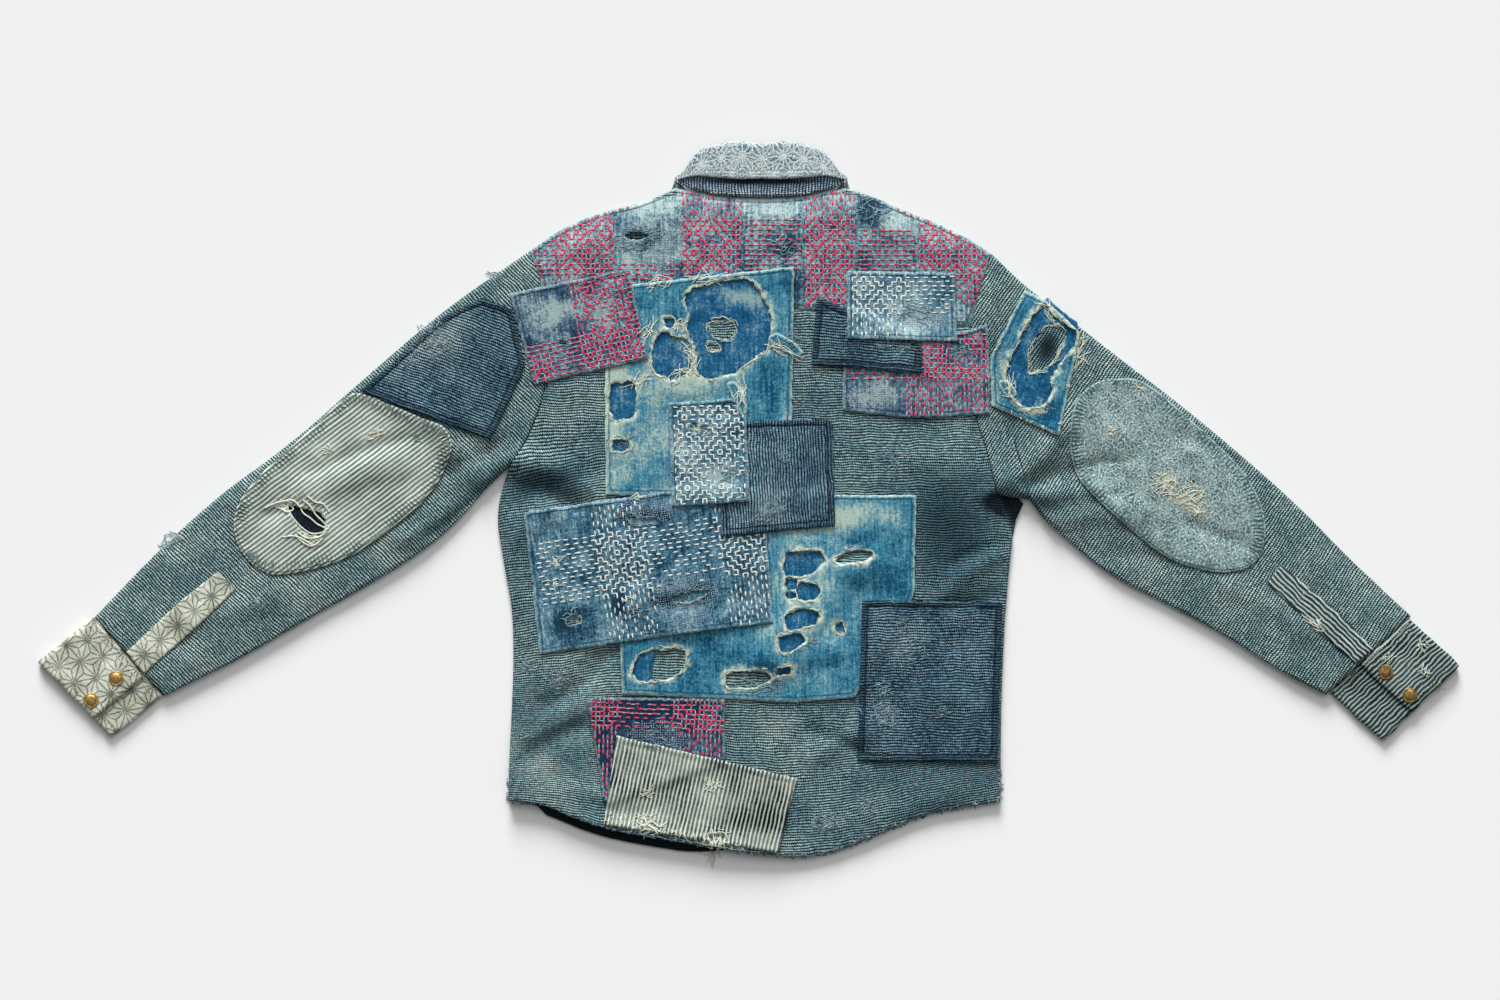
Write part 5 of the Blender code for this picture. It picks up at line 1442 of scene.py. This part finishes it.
MATERIALS.update((name, thread_material(name, *colours)) for name, colours in THREADS.items())
MATERIALS["bright brass"] = brass_material("bright brass", "D0B070", "876A3A", 0.36)
MATERIALS["dull brass"] = brass_material("dull brass", "A88B58", "5C4B2B", 0.44)


# ---------------------------------------------------------------- stitches and yarns


def node_tool(name, numbers, build):
    """A Geometry Nodes tool with a material input and named number inputs."""
    tree = bpy.data.node_groups.new(name, "GeometryNodeTree")
    for label, kind in {"Geometry": "Geometry", "Material": "Material", **numbers}.items():
        tree.interface.new_socket(label, in_out="INPUT", socket_type="NodeSocket" + kind)
    tree.interface.new_socket("Geometry", in_out="OUTPUT", socket_type="NodeSocketGeometry")
    taken, given = tree.nodes.new("NodeGroupInput"), tree.nodes.new("NodeGroupOutput")
    made = build(tree, *[Wire(tree, taken.outputs[label]) for label in ("Geometry", *numbers)])
    made = put(tree, "GeometryNodeRealizeInstances", Geometry=made)
    made = put(tree, "GeometryNodeSetShadeSmooth", Geometry=made)
    made = put(tree, "GeometryNodeSetMaterial", Geometry=made, Material=Wire(tree, taken.outputs["Material"]))
    join(tree, given.inputs["Geometry"], made)
    return tree


def named(tree, label, kind="FLOAT"):
    """The value that the points carry under that name."""
    return put(tree, "GeometryNodeInputNamedAttribute", settings={"data_type": kind}, Name=label)


def stitch_shapes(tree, points, width, height, sides, rings):
    """A plump bead of thread on every point, drawn out to the stitch's length."""
    bead = put(tree, "GeometryNodeMeshUVSphere", Segments=sides, Rings=rings, Radius=0.5)
    bead = put(tree, "GeometryNodeTransform", Geometry=bead, Rotation=(0.0, np.pi / 2, 0.0))
    plump = named(tree, "plump")
    scale = put(tree, "ShaderNodeCombineXYZ", X=named(tree, "length"), Y=width * plump, Z=height * plump)
    turn = put(tree, "FunctionNodeEulerToRotation", Euler=named(tree, "turn", "FLOAT_VECTOR"))
    return put(tree, "GeometryNodeInstanceOnPoints", Points=points, Instance=bead, Rotation=turn, Scale=scale)


def yarn_shapes(tree, lines, radius, sides):
    """A round yarn along every line, thinner towards its ends where the line says so."""
    curve = put(tree, "GeometryNodeMeshToCurve", Mesh=lines)
    curve = put(tree, "GeometryNodeSetCurveRadius", Curve=curve, Radius=named(tree, "plump"))
    ring = put(tree, "GeometryNodeCurvePrimitiveCircle", Resolution=sides, Radius=radius)
    return put(tree, "GeometryNodeCurveToMesh", Curve=curve, Profile_Curve=ring, Fill_Caps=True)


stitch_tool = node_tool("stitches", {"Width": "Float", "Height": "Float", "Sides": "Int", "Rings": "Int"},
                        stitch_shapes)
yarn_tool = node_tool("yarns", {"Radius": "Float", "Sides": "Int"}, yarn_shapes)


def grow(name, slot, tool, material, points, edges, fields, **numbers):
    """Runs a tool over points or lines and keeps what it makes as a plain mesh."""
    seed = bpy.data.meshes.new(name + " lines")
    seed.from_pydata((np.asarray(points) * MM).tolist(), edges, [])
    for label, values in fields.items():
        vector = values.ndim == 2
        layer = seed.attributes.new(label, "FLOAT_VECTOR" if vector else "FLOAT", "POINT")
        layer.data.foreach_set("vector" if vector else "value", values.astype(np.float32).ravel())
    maker = add_object(name + " maker", seed)
    step = maker.modifiers.new("make", "NODES")
    step.node_group = tool
    numbers["Material"] = MATERIALS[material]
    for socket in tool.interface.items_tree:
        if socket.in_out == "INPUT" and socket.name in numbers:
            step[socket.identifier] = numbers[socket.name]
    bpy.context.view_layer.update()
    mesh = bpy.data.meshes.new_from_object(maker.evaluated_get(bpy.context.evaluated_depsgraph_get()))
    mesh.name = name
    shown[name], slots[name] = add_object(name, mesh), slot
    bpy.data.objects.remove(maker)
    bpy.data.meshes.remove(seed)


slots = {}  # material slot of every finished piece
chance = np.random.default_rng(7)


def stitch_fields(cloth, middle, direction, length, plump):
    """Points and fields of the stitches that are seen on a cloth: not under another cloth, over a tear, on a steep
    side or off the cloth. direction is in radians, length in millimetres."""
    field = upper_side[cloth]
    ahead = np.column_stack([np.cos(direction), np.sin(direction)])
    level = sample(field, middle)
    rise = (sample(field, middle + ahead * 1.6) - sample(field, middle - ahead * 1.6)) / 3.2
    keep = (sample(pile, middle) < level + 0.3) & (np.abs(rise) < 1.2) & (level > 1)
    for hole in HOLES.get(cloth, []):
        hole = np.asarray(hole, float)
        keep &= ~within(middle, hole.mean(0) + (hole - hole.mean(0)) * 1.12)
    spots = np.column_stack([middle, level + 0.12])
    turn = np.column_stack([np.zeros(len(middle)), -np.arctan(rise), direction])
    return spots[keep], {"length": (length * MM)[keep], "turn": turn[keep], "plump": plump[keep]}


def sew(name, slot, material, cloths, width, height, sides=6, rings=4):
    """One object of stitches from several cloths' lists of middles, directions, lengths and plumpness."""
    parts = [stitch_fields(cloth, *rows) for cloth, rows in cloths if len(rows[0])]
    points = np.vstack([p for p, _ in parts])
    fields = {label: np.concatenate([f[label] for _, f in parts]) for label in parts[0][1]}
    grow(name, slot, stitch_tool, material, points, [], fields, Width=width * MM, Height=height * MM, Sides=sides,
         Rings=rings)


def band_stitches(origin, turn, first, pitch, row, band, upright, stretch):
    """Running stitches in one band (s0, t0, s1, t1), s to the right and t down. Neighbouring lines start one stitch
    apart and the order turns back after every fourth line, so bands that cross make nested diamonds.
    stretch is a stitch's length in the spacing between two. Gives the stitches, and those of a second thread that
    fills the gaps on the same lines."""
    s0, t0, s1, t1 = band
    across, along = (pitch, row) if upright else (row, pitch)
    low, high, start, end = (s0, s1, t0, t1) if upright else (t0, t1, s0, s1)
    side, ahead = first if upright else first[::-1]
    on_top, between = [], []
    for k in range(int(np.ceil((low - side) / across)), int(np.floor((high - side) / across)) + 1):
        i = np.arange(int(np.ceil((start - ahead) / along)), int(np.floor((end - ahead) / along)))
        at, middle = np.full(len(i), side + k * across), ahead + (i + 0.5) * along
        st = np.column_stack([at, middle] if upright else [middle, at])
        on = (i + k + k // 4) % 2 == 0
        on_top.append(st[on])
        between.append(st[~on])
    out = []
    for st in (np.vstack(on_top), np.vstack(between)):
        sway = 0.8 * np.column_stack([undulation(st, 31, 61), undulation(st, 27, 62)])
        xy = np.asarray(origin, float) + turned((st + sway + chance.normal(0, 0.14, st.shape)) * (1, -1), -turn)
        direction = np.radians((-90.0 if upright else 0.0) + turn + chance.normal(0, 3.0, len(st)))
        length = along * stretch * chance.uniform(0.93, 1.08, len(st))
        out.append([xy, direction, length, chance.uniform(0.82, 1.12, len(st))])
    return out


def thinned(rows, spots, keep):
    """Leaves out stitches where the thread has worn away."""
    share = keep - paint(rows[0], spots)
    chosen = chance.uniform(0, 1, len(rows[0])) < share
    return [values[chosen] for values in rows]


def inside_piece(rows, cloth, margin):
    """Only the stitches that far inside the cloth's outline."""
    loop = outlines[cloth]
    keep = within(rows[0], loop) & (to_line(rows[0], loop)[0] > margin)
    return [values[keep] for values in rows]


def run_of_stitches(line, spacing, length):
    """Stitches in a row along a line."""
    at = np.arange(spacing / 2, walked(line)[-1], spacing)
    xy, ahead, back = (points_at(line, at + step) for step in (0, 0.8, -0.8))
    direction = np.arctan2(*(ahead - back).T[::-1]) + chance.normal(0, 0.06, len(at))
    return [xy + chance.normal(0, 0.15, xy.shape), direction, length * chance.uniform(0.85, 1.1, len(at)),
            chance.uniform(0.85, 1.1, len(at))]


def inset(loop, distance):
    """The closed line moved inwards if it runs anticlockwise and outwards if it runs clockwise, without what folds
    over at its corners."""
    line = spaced_loop(loop, 1.2)
    moved = line - outward(line, 2) * distance
    return moved[to_line(moved, line)[0] > distance * 0.93]


def strands(x, y, length, width, turn, count, curl, reach):
    """Loose yarns over a frayed spot: lines of points, wavy and roughly along turn. curl is how wavy they are, and
    reach the longest one's share of length."""
    out = []
    for _ in range(count):
        middle = np.array((x, y)) + turned(chance.uniform(-1, 1, 2) * (length * 0.5, width), -turn)
        heading = np.radians(turn + chance.normal(0, 16 + 30 * curl))
        size = length * chance.uniform(0.35, reach)
        steps = max(4, int(size / 2.6))
        bend = np.cumsum(chance.normal(0, 0.10 + 0.32 * curl, steps))
        bend -= bend.mean()
        legs = np.column_stack([np.cos(heading + bend), np.sin(heading + bend)]) * size / steps
        line = np.vstack([[0, 0], np.cumsum(legs, 0)])
        out.append(middle + line - line.mean(0))
    return out


def round_tear(loop, count):
    """Short frayed lengths that follow the edge of a tear."""
    line = spaced_loop(loop, 1.6)
    out = []
    for k in range(count):
        part = np.roll(line, -chance.integers(len(line)), 0)[:chance.integers(4, 11)]
        if k % 3 == 0:
            away = (part[-1] - part[0])[::-1] * (1, -1) / 6
            part = part + np.linspace(0, 1, len(part))[:, None] ** 2 * away * chance.choice((-1.0, 0.7, 1.5))
        if len(part) > 3:
            out.append(part + chance.normal(0, 1.0, 2) + chance.normal(0, 0.5, part.shape))
    return out


def yarns(name, slot, material, lines, radius, lift, sides=5):
    """Loose yarns lying on the pile, each a line of points. lift is how high they hump between their ends."""
    points, edges, plump = [], [], []
    for line in lines:
        line = np.asarray(line, float)
        first = len(points)
        top = sample(pile, line)
        top = np.maximum(top, np.convolve(np.pad(top, 1, mode="edge"), (0.25, 0.5, 0.25), "valid"))
        free = abs(undulation(line[:1] * 3.7, 5, 71)[0])
        hump = np.sin(np.linspace(0, np.pi, len(line))) * lift * (0.4 + 1.6 * free)
        top = np.where(top < 1, np.maximum(max(0.2, 0.6 * radius), top), top)  # on the floor beside the jacket
        points += np.column_stack([line, top + radius * 0.4 + hump]).tolist()
        edges += [(first + k, first + k + 1) for k in range(len(line) - 1)]
        plump += (0.45 + 0.55 * np.sin(np.linspace(0.15, np.pi - 0.15, len(line)))).tolist()
    grow(name, slot, yarn_tool, material, points, edges, {"plump": np.array(plump)}, Radius=radius * MM, Sides=sides)


# ---------------------------------------------------------------- the jacket


def body_weave(xy):
    """Knit rows level across the back, bowed along the hem and tilted at the left."""
    x, y = xy.T
    bow = 46 * (1 - np.cos(np.pi * np.clip((x - 40) / 290, -1, 1))) / 2 * soft_step((-y - 180) / 130)
    tilt = -0.14 * (x + 120) * soft_step((-120 - x) / 60)
    tilt = tilt * soft_step((y + 260) / 120) * soft_step((90 - y) / 80)
    return np.column_stack([x, y - bow + tilt])


# A press stud's cap from its middle to its rolled rim and back under it: radius and height
STUD = [(1.6, 2.28), (3.2, 2.12), (4.6, 1.8), (5.3, 1.5), (5.6, 1.32), (6.0, 1.3), (6.5, 1.5), (7.0, 1.5), (7.4, 1.2),
        (7.5, 0.8), (7.4, 0.3), (7.1, 0.0), (4.0, 0.0)]
STUD_HEIGHT = 2.3


def stud(name, x, y, material, turns=40):
    """The domed cap of a press stud, turned from its profile."""
    low = float(sample(pile, np.array((x, y)) + 6.0 * np.array([(1, 0), (-1, 0), (0, 1), (0, -1)])).max())
    angles = np.arange(turns) * TURN / turns
    rings = [(x + r * np.cos(a), y + r * np.sin(a), low + height) for r, height in STUD for a in angles]
    points = np.array([(x, y, low + STUD_HEIGHT), *rings, (x, y, low)])
    last, faces = 1 + (len(STUD) - 1) * turns, []
    for k in range(turns):
        n = (k + 1) % turns
        faces.append((0, 1 + k, 1 + n))
        for a in range(1, last, turns):
            faces += [(a + k, a + turns + k, a + turns + n), (a + k, a + turns + n, a + n)]
        faces.append((last + k, len(points) - 1, last + n))
    solid(name, points, faces, MATERIALS[material], points[:, :2])


for side, turn in (("left", -45), ("right", 56)):
    copied("front_" + side, MATERIALS["body knit"])
    sleeve(side, MATERIALS["sleeve knit"], turn)
    slots.update({"front_" + side: "knit_blue", "sleeve_" + side: "knit_blue"})

# A groove and a low ridge beside it where the back meets the yoke and the sleeves
seam = np.full((ROWS, COLUMNS), FAR)
for name in ("back_yoke", "sleeve_left", "sleeve_right"):
    near = window(outlines[name], 4)
    seam[near] = np.minimum(seam[near], to_line(grid[near], outlines[name])[0])
back_form -= 0.8 * np.exp(-((seam / 1.9) ** 2)) * (inland > 4)
back_form += 0.35 * np.exp(-(((seam - 5.0) / 2.6) ** 2)) * (inland > 8)
# No trough cuts into the fronts
clear = back_form - FRONT_TOP
back_form = np.where(clear < 1.5, FRONT_TOP + 1.5 * np.exp((clear - 1.5) / 1.5), back_form)
lay("back_body", loop_through(outlines["back_body"], 3.0), KNIT, MATERIALS["body knit"], 0, 3.1, form=back_form,
    cloth=body_weave)
lay("back_yoke", loop_through(outlines["back_yoke"], 2.6), 1.6, MATERIALS["yoke ground"], 0, 2.8, form=back_form)
slots.update(back_body="knit_blue", back_yoke="yoke_cloth")

# The collar, and the pile's cells under the part of it that lies flat
flat = np.array([row for row in COLLAR_ROWS if row[0] == 180], float)
for name, slot, material, first, last, level, thickness, tuck, top in (
        ("collar_stand", "stand_knit", "stand knit", 1, 3, 2.05, 1.2, 0, 8.3),
        ("collar_fall", "collar_cloth", "collar leaf", 3, 5, 4.6, 1.6, 2.6, 11.05)):
    collar(name, first, last, level, thickness, tuck, MATERIALS[material])
    slots[name] = slot
    edges = [np.vstack([np.column_stack([CENTRE - flat[:, k], flat[:, k + 1]]),
                        np.column_stack([CENTRE + flat[::-1, k], flat[::-1, k + 1]])[1:]]) for k in (first, last)]
    raise_pile(np.vstack([edges[0], edges[1][::-1]]), top)

cuff("left", MATERIALS["cream leaf"], -48)
cuff("right", MATERIALS["cuff stripe"], -47)
slots.update(cuff_left="cuff_cream", cuff_right="cuff_stripe")
for name, slot, material, turn in (("placket_left", "placket_cream", "cream leaf", 40),
                                   ("placket_right", "placket_stripe", "cuff stripe", 47)):
    lay(name, loop_through(outlines[name], 1.7, False, 0.2, 5), 1.0, MATERIALS[material], turn, 2.2)
    slots[name] = slot

for name, (material, slot, thickness, turn, hem) in CLOTHS.items():
    for mend, (corners, before) in MENDS.items():
        if before == name:
            inner = MATERIALS["dark lining" if mend == "mend_elbow" else "inner denim"]
            lay(mend, loop_through(corners, 3.0, False, 0.8, 11), 0.5, inner, turn, 2.8)
            slots[mend] = "knit_indigo"
    smooth = name.startswith("elbow")
    line = loop_through(outlines[name], 1.7, smooth, 0.15 if smooth else 0.75, len(name))
    lay(name, line, thickness, MATERIALS[material], turn, 2.4, 3, hem=hem)
    slots[name] = slot

for name, corners in FLAPS.items():
    lay(name, loop_through(corners, 1.2, True, 0.8, 5), 0.8, MATERIALS["denim"], 30, 1.5, 3)
    slots[name] = "denim"

for name, x, y, material in SNAPS:
    stud(name, x, y, material)
    slots[name] = "brass" if "left" in name else "antique_brass"

# Sashiko: rose and dusk thread on the rose cloths, white thread on the blue ones
for name in ("cuff_left", "cuff_right", "collar_stand", "collar_fall"):
    upper_side[name] = pile
main, filling, white = [], [], []
for cloth, (origin, turn, first, pitch, row, uprights, levels) in SASHIKO.items():
    rose = CLOTHS.get(cloth, ("rose ground",))[0] == "rose ground"
    for band, upright in [(band, True) for band in uprights] + [(band, False) for band in levels]:
        over, gaps = (inside_piece(rows, cloth, 2.0) for rows in
                      band_stitches(origin, turn, first, pitch, row, band, upright, 1.22 if rose else 1.3))
        spots = THREAD_WORN.get(cloth, [])
        if rose:
            main.append((cloth, thinned(over, spots, 0.97)))
            filling.append((cloth, thinned(gaps, spots, 0.8)))
        else:
            white.append((cloth, thinned(over, spots, 0.97)))
sew("sashiko_rose", "sashiko_red", "rose thread", main, 2.6, 1.2)
sew("sashiko_dusk", "sashiko_red", "dusk thread", filling, 1.6, 0.8, 5)
sew("sashiko_white_thread", "sashiko_white", "white thread", white, 1.95, 1.2)

darning = []
for cloth, x, y, length, width, turn in DARNED:
    i, j = np.meshgrid(np.arange(-length, length, DARN), np.arange(-width, width, DARN))
    place = np.column_stack([i.ravel(), j.ravel()]) + chance.normal(0, 0.3, (i.size, 2))
    place = place[((place / (length, width)) ** 2).sum(1) < chance.uniform(0.7, 1.15, len(place))]
    xy = np.array((x, y)) + turned(place, -turn)
    upright = (np.round(place / DARN).astype(int).sum(1) % 2) * 90.0
    rows = [xy, np.radians(turn + upright + chance.normal(0, 8, len(xy))), chance.uniform(1.5, 2.4, len(xy)),
            chance.uniform(0.7, 1.1, len(xy))]
    darning.append((cloth, inside_piece(rows, cloth, 3.0)))
sew("darning", "sashiko_white", "dusk thread", darning, 0.95, 0.7, 5, 3)

sewing = {}
for cloth, distance, spacing, length, thread in EDGE_SEWING:
    line = inset(outlines[cloth], distance)
    rows = run_of_stitches(line, spacing, length)
    sewing.setdefault(thread, []).append((cloth, inside_piece(rows, cloth, distance * 0.6)))
# Hand sewing on the armhole bands, the collar, the cuffs and the plackets
for side in ("left", "right"):
    seam_line, rim_line = np.array(CUFFS[side][0], float), np.array(CUFFS[side][1], float)
    for share, spacing, length, thread in ((0.05, 2.6, 2.2, "white thread"), (0.13, 4.4, 1.9, "navy thread"),
                                           (0.9, 4.4, 1.9, "navy thread")):
        ends = seam_line + (rim_line - seam_line) * share
        line = spaced(ends + (ends[::-1] - ends) * 0.03, 2.0)
        sewing.setdefault(thread, []).append(("cuff_" + side, run_of_stitches(line, spacing, length)))
    lap = [line[0] + (line[1] - line[0]) * CUFFS[side][2] for line in (seam_line, rim_line)]
    back = (seam_line[0] - seam_line[1]) / np.linalg.norm(seam_line[0] - seam_line[1])
    line = spaced(np.array(lap) + back * 2.6, 2.0)
    sewing["navy thread"].append(("cuff_" + side, run_of_stitches(line, 4.2, 1.9)))
    loop = outlines["placket_" + side]
    rows = run_of_stitches(inset(loop, 0.5), 2.7, 2.2)
    sewing["white thread"].append(("placket_" + side, inside_piece(rows, "placket_" + side, 0.1)))
for cloth, thread, level, reach, spacing, length in (("collar_stand", "white thread", 306.0, 52, 4.4, 3.0),
                                                     ("collar_fall", "dusk thread", 325.6, 68, 3.4, 2.4),
                                                     ("collar_fall", "dusk thread", 329.4, 68, 3.4, 2.4)):
    x = np.linspace(CENTRE - reach, CENTRE + reach, 40)
    line = np.column_stack([x, level + 1.3 * (1 - np.cos((x - CENTRE) / 42))])
    sewing[thread].append((cloth, run_of_stitches(line, spacing, length)))
# Crosses over the ends of seams
crosses = []
for x0, y0, x1, y1 in ((-552, -95, -537, -108), (545, -104, 560, -88), (-212, 236, -196, 204), (-203, 190, -205, 150),
                       (236, 236, 224, 190), (226, 168, 229, 120), (229, 112, 238, 70), (-150, 284, -120, 292),
                       (150, 290, 176, 279)):
    for middle in spaced(np.array([(x0, y0), (x1, y1)], float), 7.0):
        crosses += [(*middle, 45.0), (*middle, -45.0)]
crosses = np.array(crosses)
rows = [crosses[:, :2], np.radians(crosses[:, 2]), np.full(len(crosses), 5.0), np.ones(len(crosses))]
for cloth, thread in (("back_yoke", "red thread"), ("placket_left", "dusk thread"), ("placket_right", "dusk thread")):
    sewing[thread].append((cloth, inside_piece(rows, cloth, 0.2)))
for thread, cloths in sewing.items():
    slot = "sashiko_red" if thread == "red thread" else "sashiko_white"
    sew("sewing_" + thread.split()[0], slot, thread, cloths, 0.85, 0.7, 5)


def uncovered(cloth, lines):
    """Only the lines that lie on this cloth and not on one sewn over it."""
    return [line for line in lines if np.median(np.abs(sample(pile, line) - sample(upper_side[cloth], line))) < 1.2]


edge_lines, tear_lines = {"cream yarn": [], "blue yarn": []}, {"cream yarn": [], "blue yarn": []}
for cloth, count, yarn in EDGE_FRAYS:
    line = spaced(np.vstack([outlines[cloth], outlines[cloth][:1]]), 1.0)
    for place in chance.integers(0, len(line) - 1, count):
        away = np.degrees(np.arctan2(*(line[place + 1] - line[place])[::-1])) + chance.normal(90, 35)
        short = strands(*line[place], 5, 1, away, 2, 0.8, 0.9)
        if cloth == "back_body":
            edge_lines[yarn] += short if line[place][1] < -270 else []
        else:
            edge_lines[yarn] += uncovered(cloth, short)
for x, y in zip(np.arange(-136, -6, 2.2), np.linspace(-316, -349, 60)):
    edge_lines["cream yarn"] += strands(x, y, 7, 1.5, chance.normal(78, 18), 1, 0.5, 1.0)
for cloth in HOLES:
    yarn = "cream yarn" if "denim" in cloth or "elbow" in cloth or "stripe" in cloth else "blue yarn"
    for loop in tear_edges(cloth):
        tear_lines[yarn] += uncovered(cloth, round_tear(loop, int(len(loop) * 0.4)))
spot_lines = [line for spot in CREAM_FRAYS for line in strands(*spot)]
yarns("frays_cream", "stripe", "cream yarn", spot_lines + edge_lines["cream yarn"], 0.42, 0.35)
yarns("frays_tears", "denim", "green yarn", tear_lines["cream yarn"], 0.42, 0.5)
spot_lines = [line for spot in BLUE_FRAYS for line in strands(*spot)]
yarns("frays_blue", "denim", "blue yarn", spot_lines + edge_lines["blue yarn"] + tear_lines["blue yarn"], 0.4, 0.4, 4)
yarns("strands_elbow", "cotton_green", "cream yarn", [rounded(line) for line in ELBOW_STRANDS], 0.8, 0.9, 6)
yarns("strands_hem", "stripe", "cream yarn", [rounded(line) for line in HEM_STRANDS], 0.75, 0.9, 6)


# ---------------------------------------------------------------- riding, cut sizes and the stage

for name, made in shown.items():
    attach(made, "root")
    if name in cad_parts:
        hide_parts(name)


def cut(made):
    """Flat size and area of a cloth from its weave's coordinates."""
    uv = np.empty(len(made.data.loops) * 2, np.float32)
    made.data.uv_layers["cloth"].data.foreach_get("uv", uv)
    corners = uv.reshape(-1, 3, 2) * MM
    a, b = corners[:, 1] - corners[:, 0], corners[:, 2] - corners[:, 0]
    return np.ptp(corners.reshape(-1, 2), 0), float(np.abs(a[:, 0] * b[:, 1] - a[:, 1] * b[:, 0]).sum() / 4)


# Cloths that are tubes or wrap round, with the width and length they are cut to
ROUND_CUTS = {"sleeve_left": (0.560, 0.500), "sleeve_right": (0.560, 0.500), "cuff_left": (0.072, 0.246),
              "cuff_right": (0.075, 0.252), "collar_stand": (0.500, 0.048), "collar_fall": (0.580, 0.052)}
CUT_PIECES = ("front", "back", "sleeve", "cuff", "collar", "placket", "patch", "elbow", "mend", "flap")
for name, made in shown.items():
    if not name.startswith(CUT_PIECES):
        continue
    (width, length), area = cut(made)
    if name in ROUND_CUTS:
        (width, length), area = ROUND_CUTS[name], sum(face.area for face in made.data.polygons) / 2
    laid_on = []
    if name in ("back_body", "back_yoke"):
        laid_on = ["front_left", "front_right"]
    elif name.startswith(("elbow", "sleeve_patch", "placket", "mend_elbow")) or name.endswith("denim_sleeve"):
        laid_on = ["sleeve_left" if "left" in name or name == "mend_elbow" else "sleeve_right"]
    elif name.startswith(("patch", "mend", "flap")):
        laid_on = ["back_body"]
    area = min(area, 0.99 * width * length)

FLOOR_HALF, FLOOR_LEVEL = 4.0, -0.0004  # metres
CAMERA_HEIGHT, VIEW_WIDTH, SENSOR = 7.0, 1.5, 36.0  # metres, metres across the picture, millimetres

scene = bpy.context.scene
floor_mesh = bpy.data.meshes.new("floor")
corners = [(x * FLOOR_HALF, y * FLOOR_HALF, FLOOR_LEVEL) for x, y in ((-1, -1), (1, -1), (1, 1), (-1, 1))]
floor_mesh.from_pydata(corners, [], [(0, 1, 2, 3)])
floor = add_object("floor", floor_mesh)
paper, _, shader = blank_material("paper")
for socket, value in (("Base Color", (0.845, 0.845, 0.845, 1)), ("Roughness", 0.95), ("Specular IOR Level", 0.0)):
    shader[socket].default_value = value
floor_mesh.materials.append(paper)

world = bpy.data.worlds.new("studio")
world.use_nodes = True
background = world.node_tree.nodes["Background"].inputs
background["Color"].default_value, background["Strength"].default_value = (1, 1, 1, 1), 0.2
scene.world = world
# Suns from beyond the collar: degrees from straight above, turn, strength, and how wide they are
for name, angle, turn, strength, spread in (("key", 65, 6, 4.5, 26), ("top", 30, -16, 0.84, 40)):
    lamp = bpy.data.lights.new(name, "SUN")
    lamp.energy, lamp.angle = strength, float(np.radians(spread))
    add_object(name, lamp).rotation_euler = (float(np.radians(-angle)), 0.0, float(np.radians(turn)))

lens = bpy.data.cameras.new("camera")
camera = add_object("camera", lens)
camera.location = (0.002, 0.0, CAMERA_HEIGHT)
lens.sensor_width, lens.lens = SENSOR, SENSOR * CAMERA_HEIGHT / VIEW_WIDTH
lens.clip_start, lens.clip_end = 0.1, 40.0
scene.camera = camera
scene.view_settings.view_transform = "Standard"
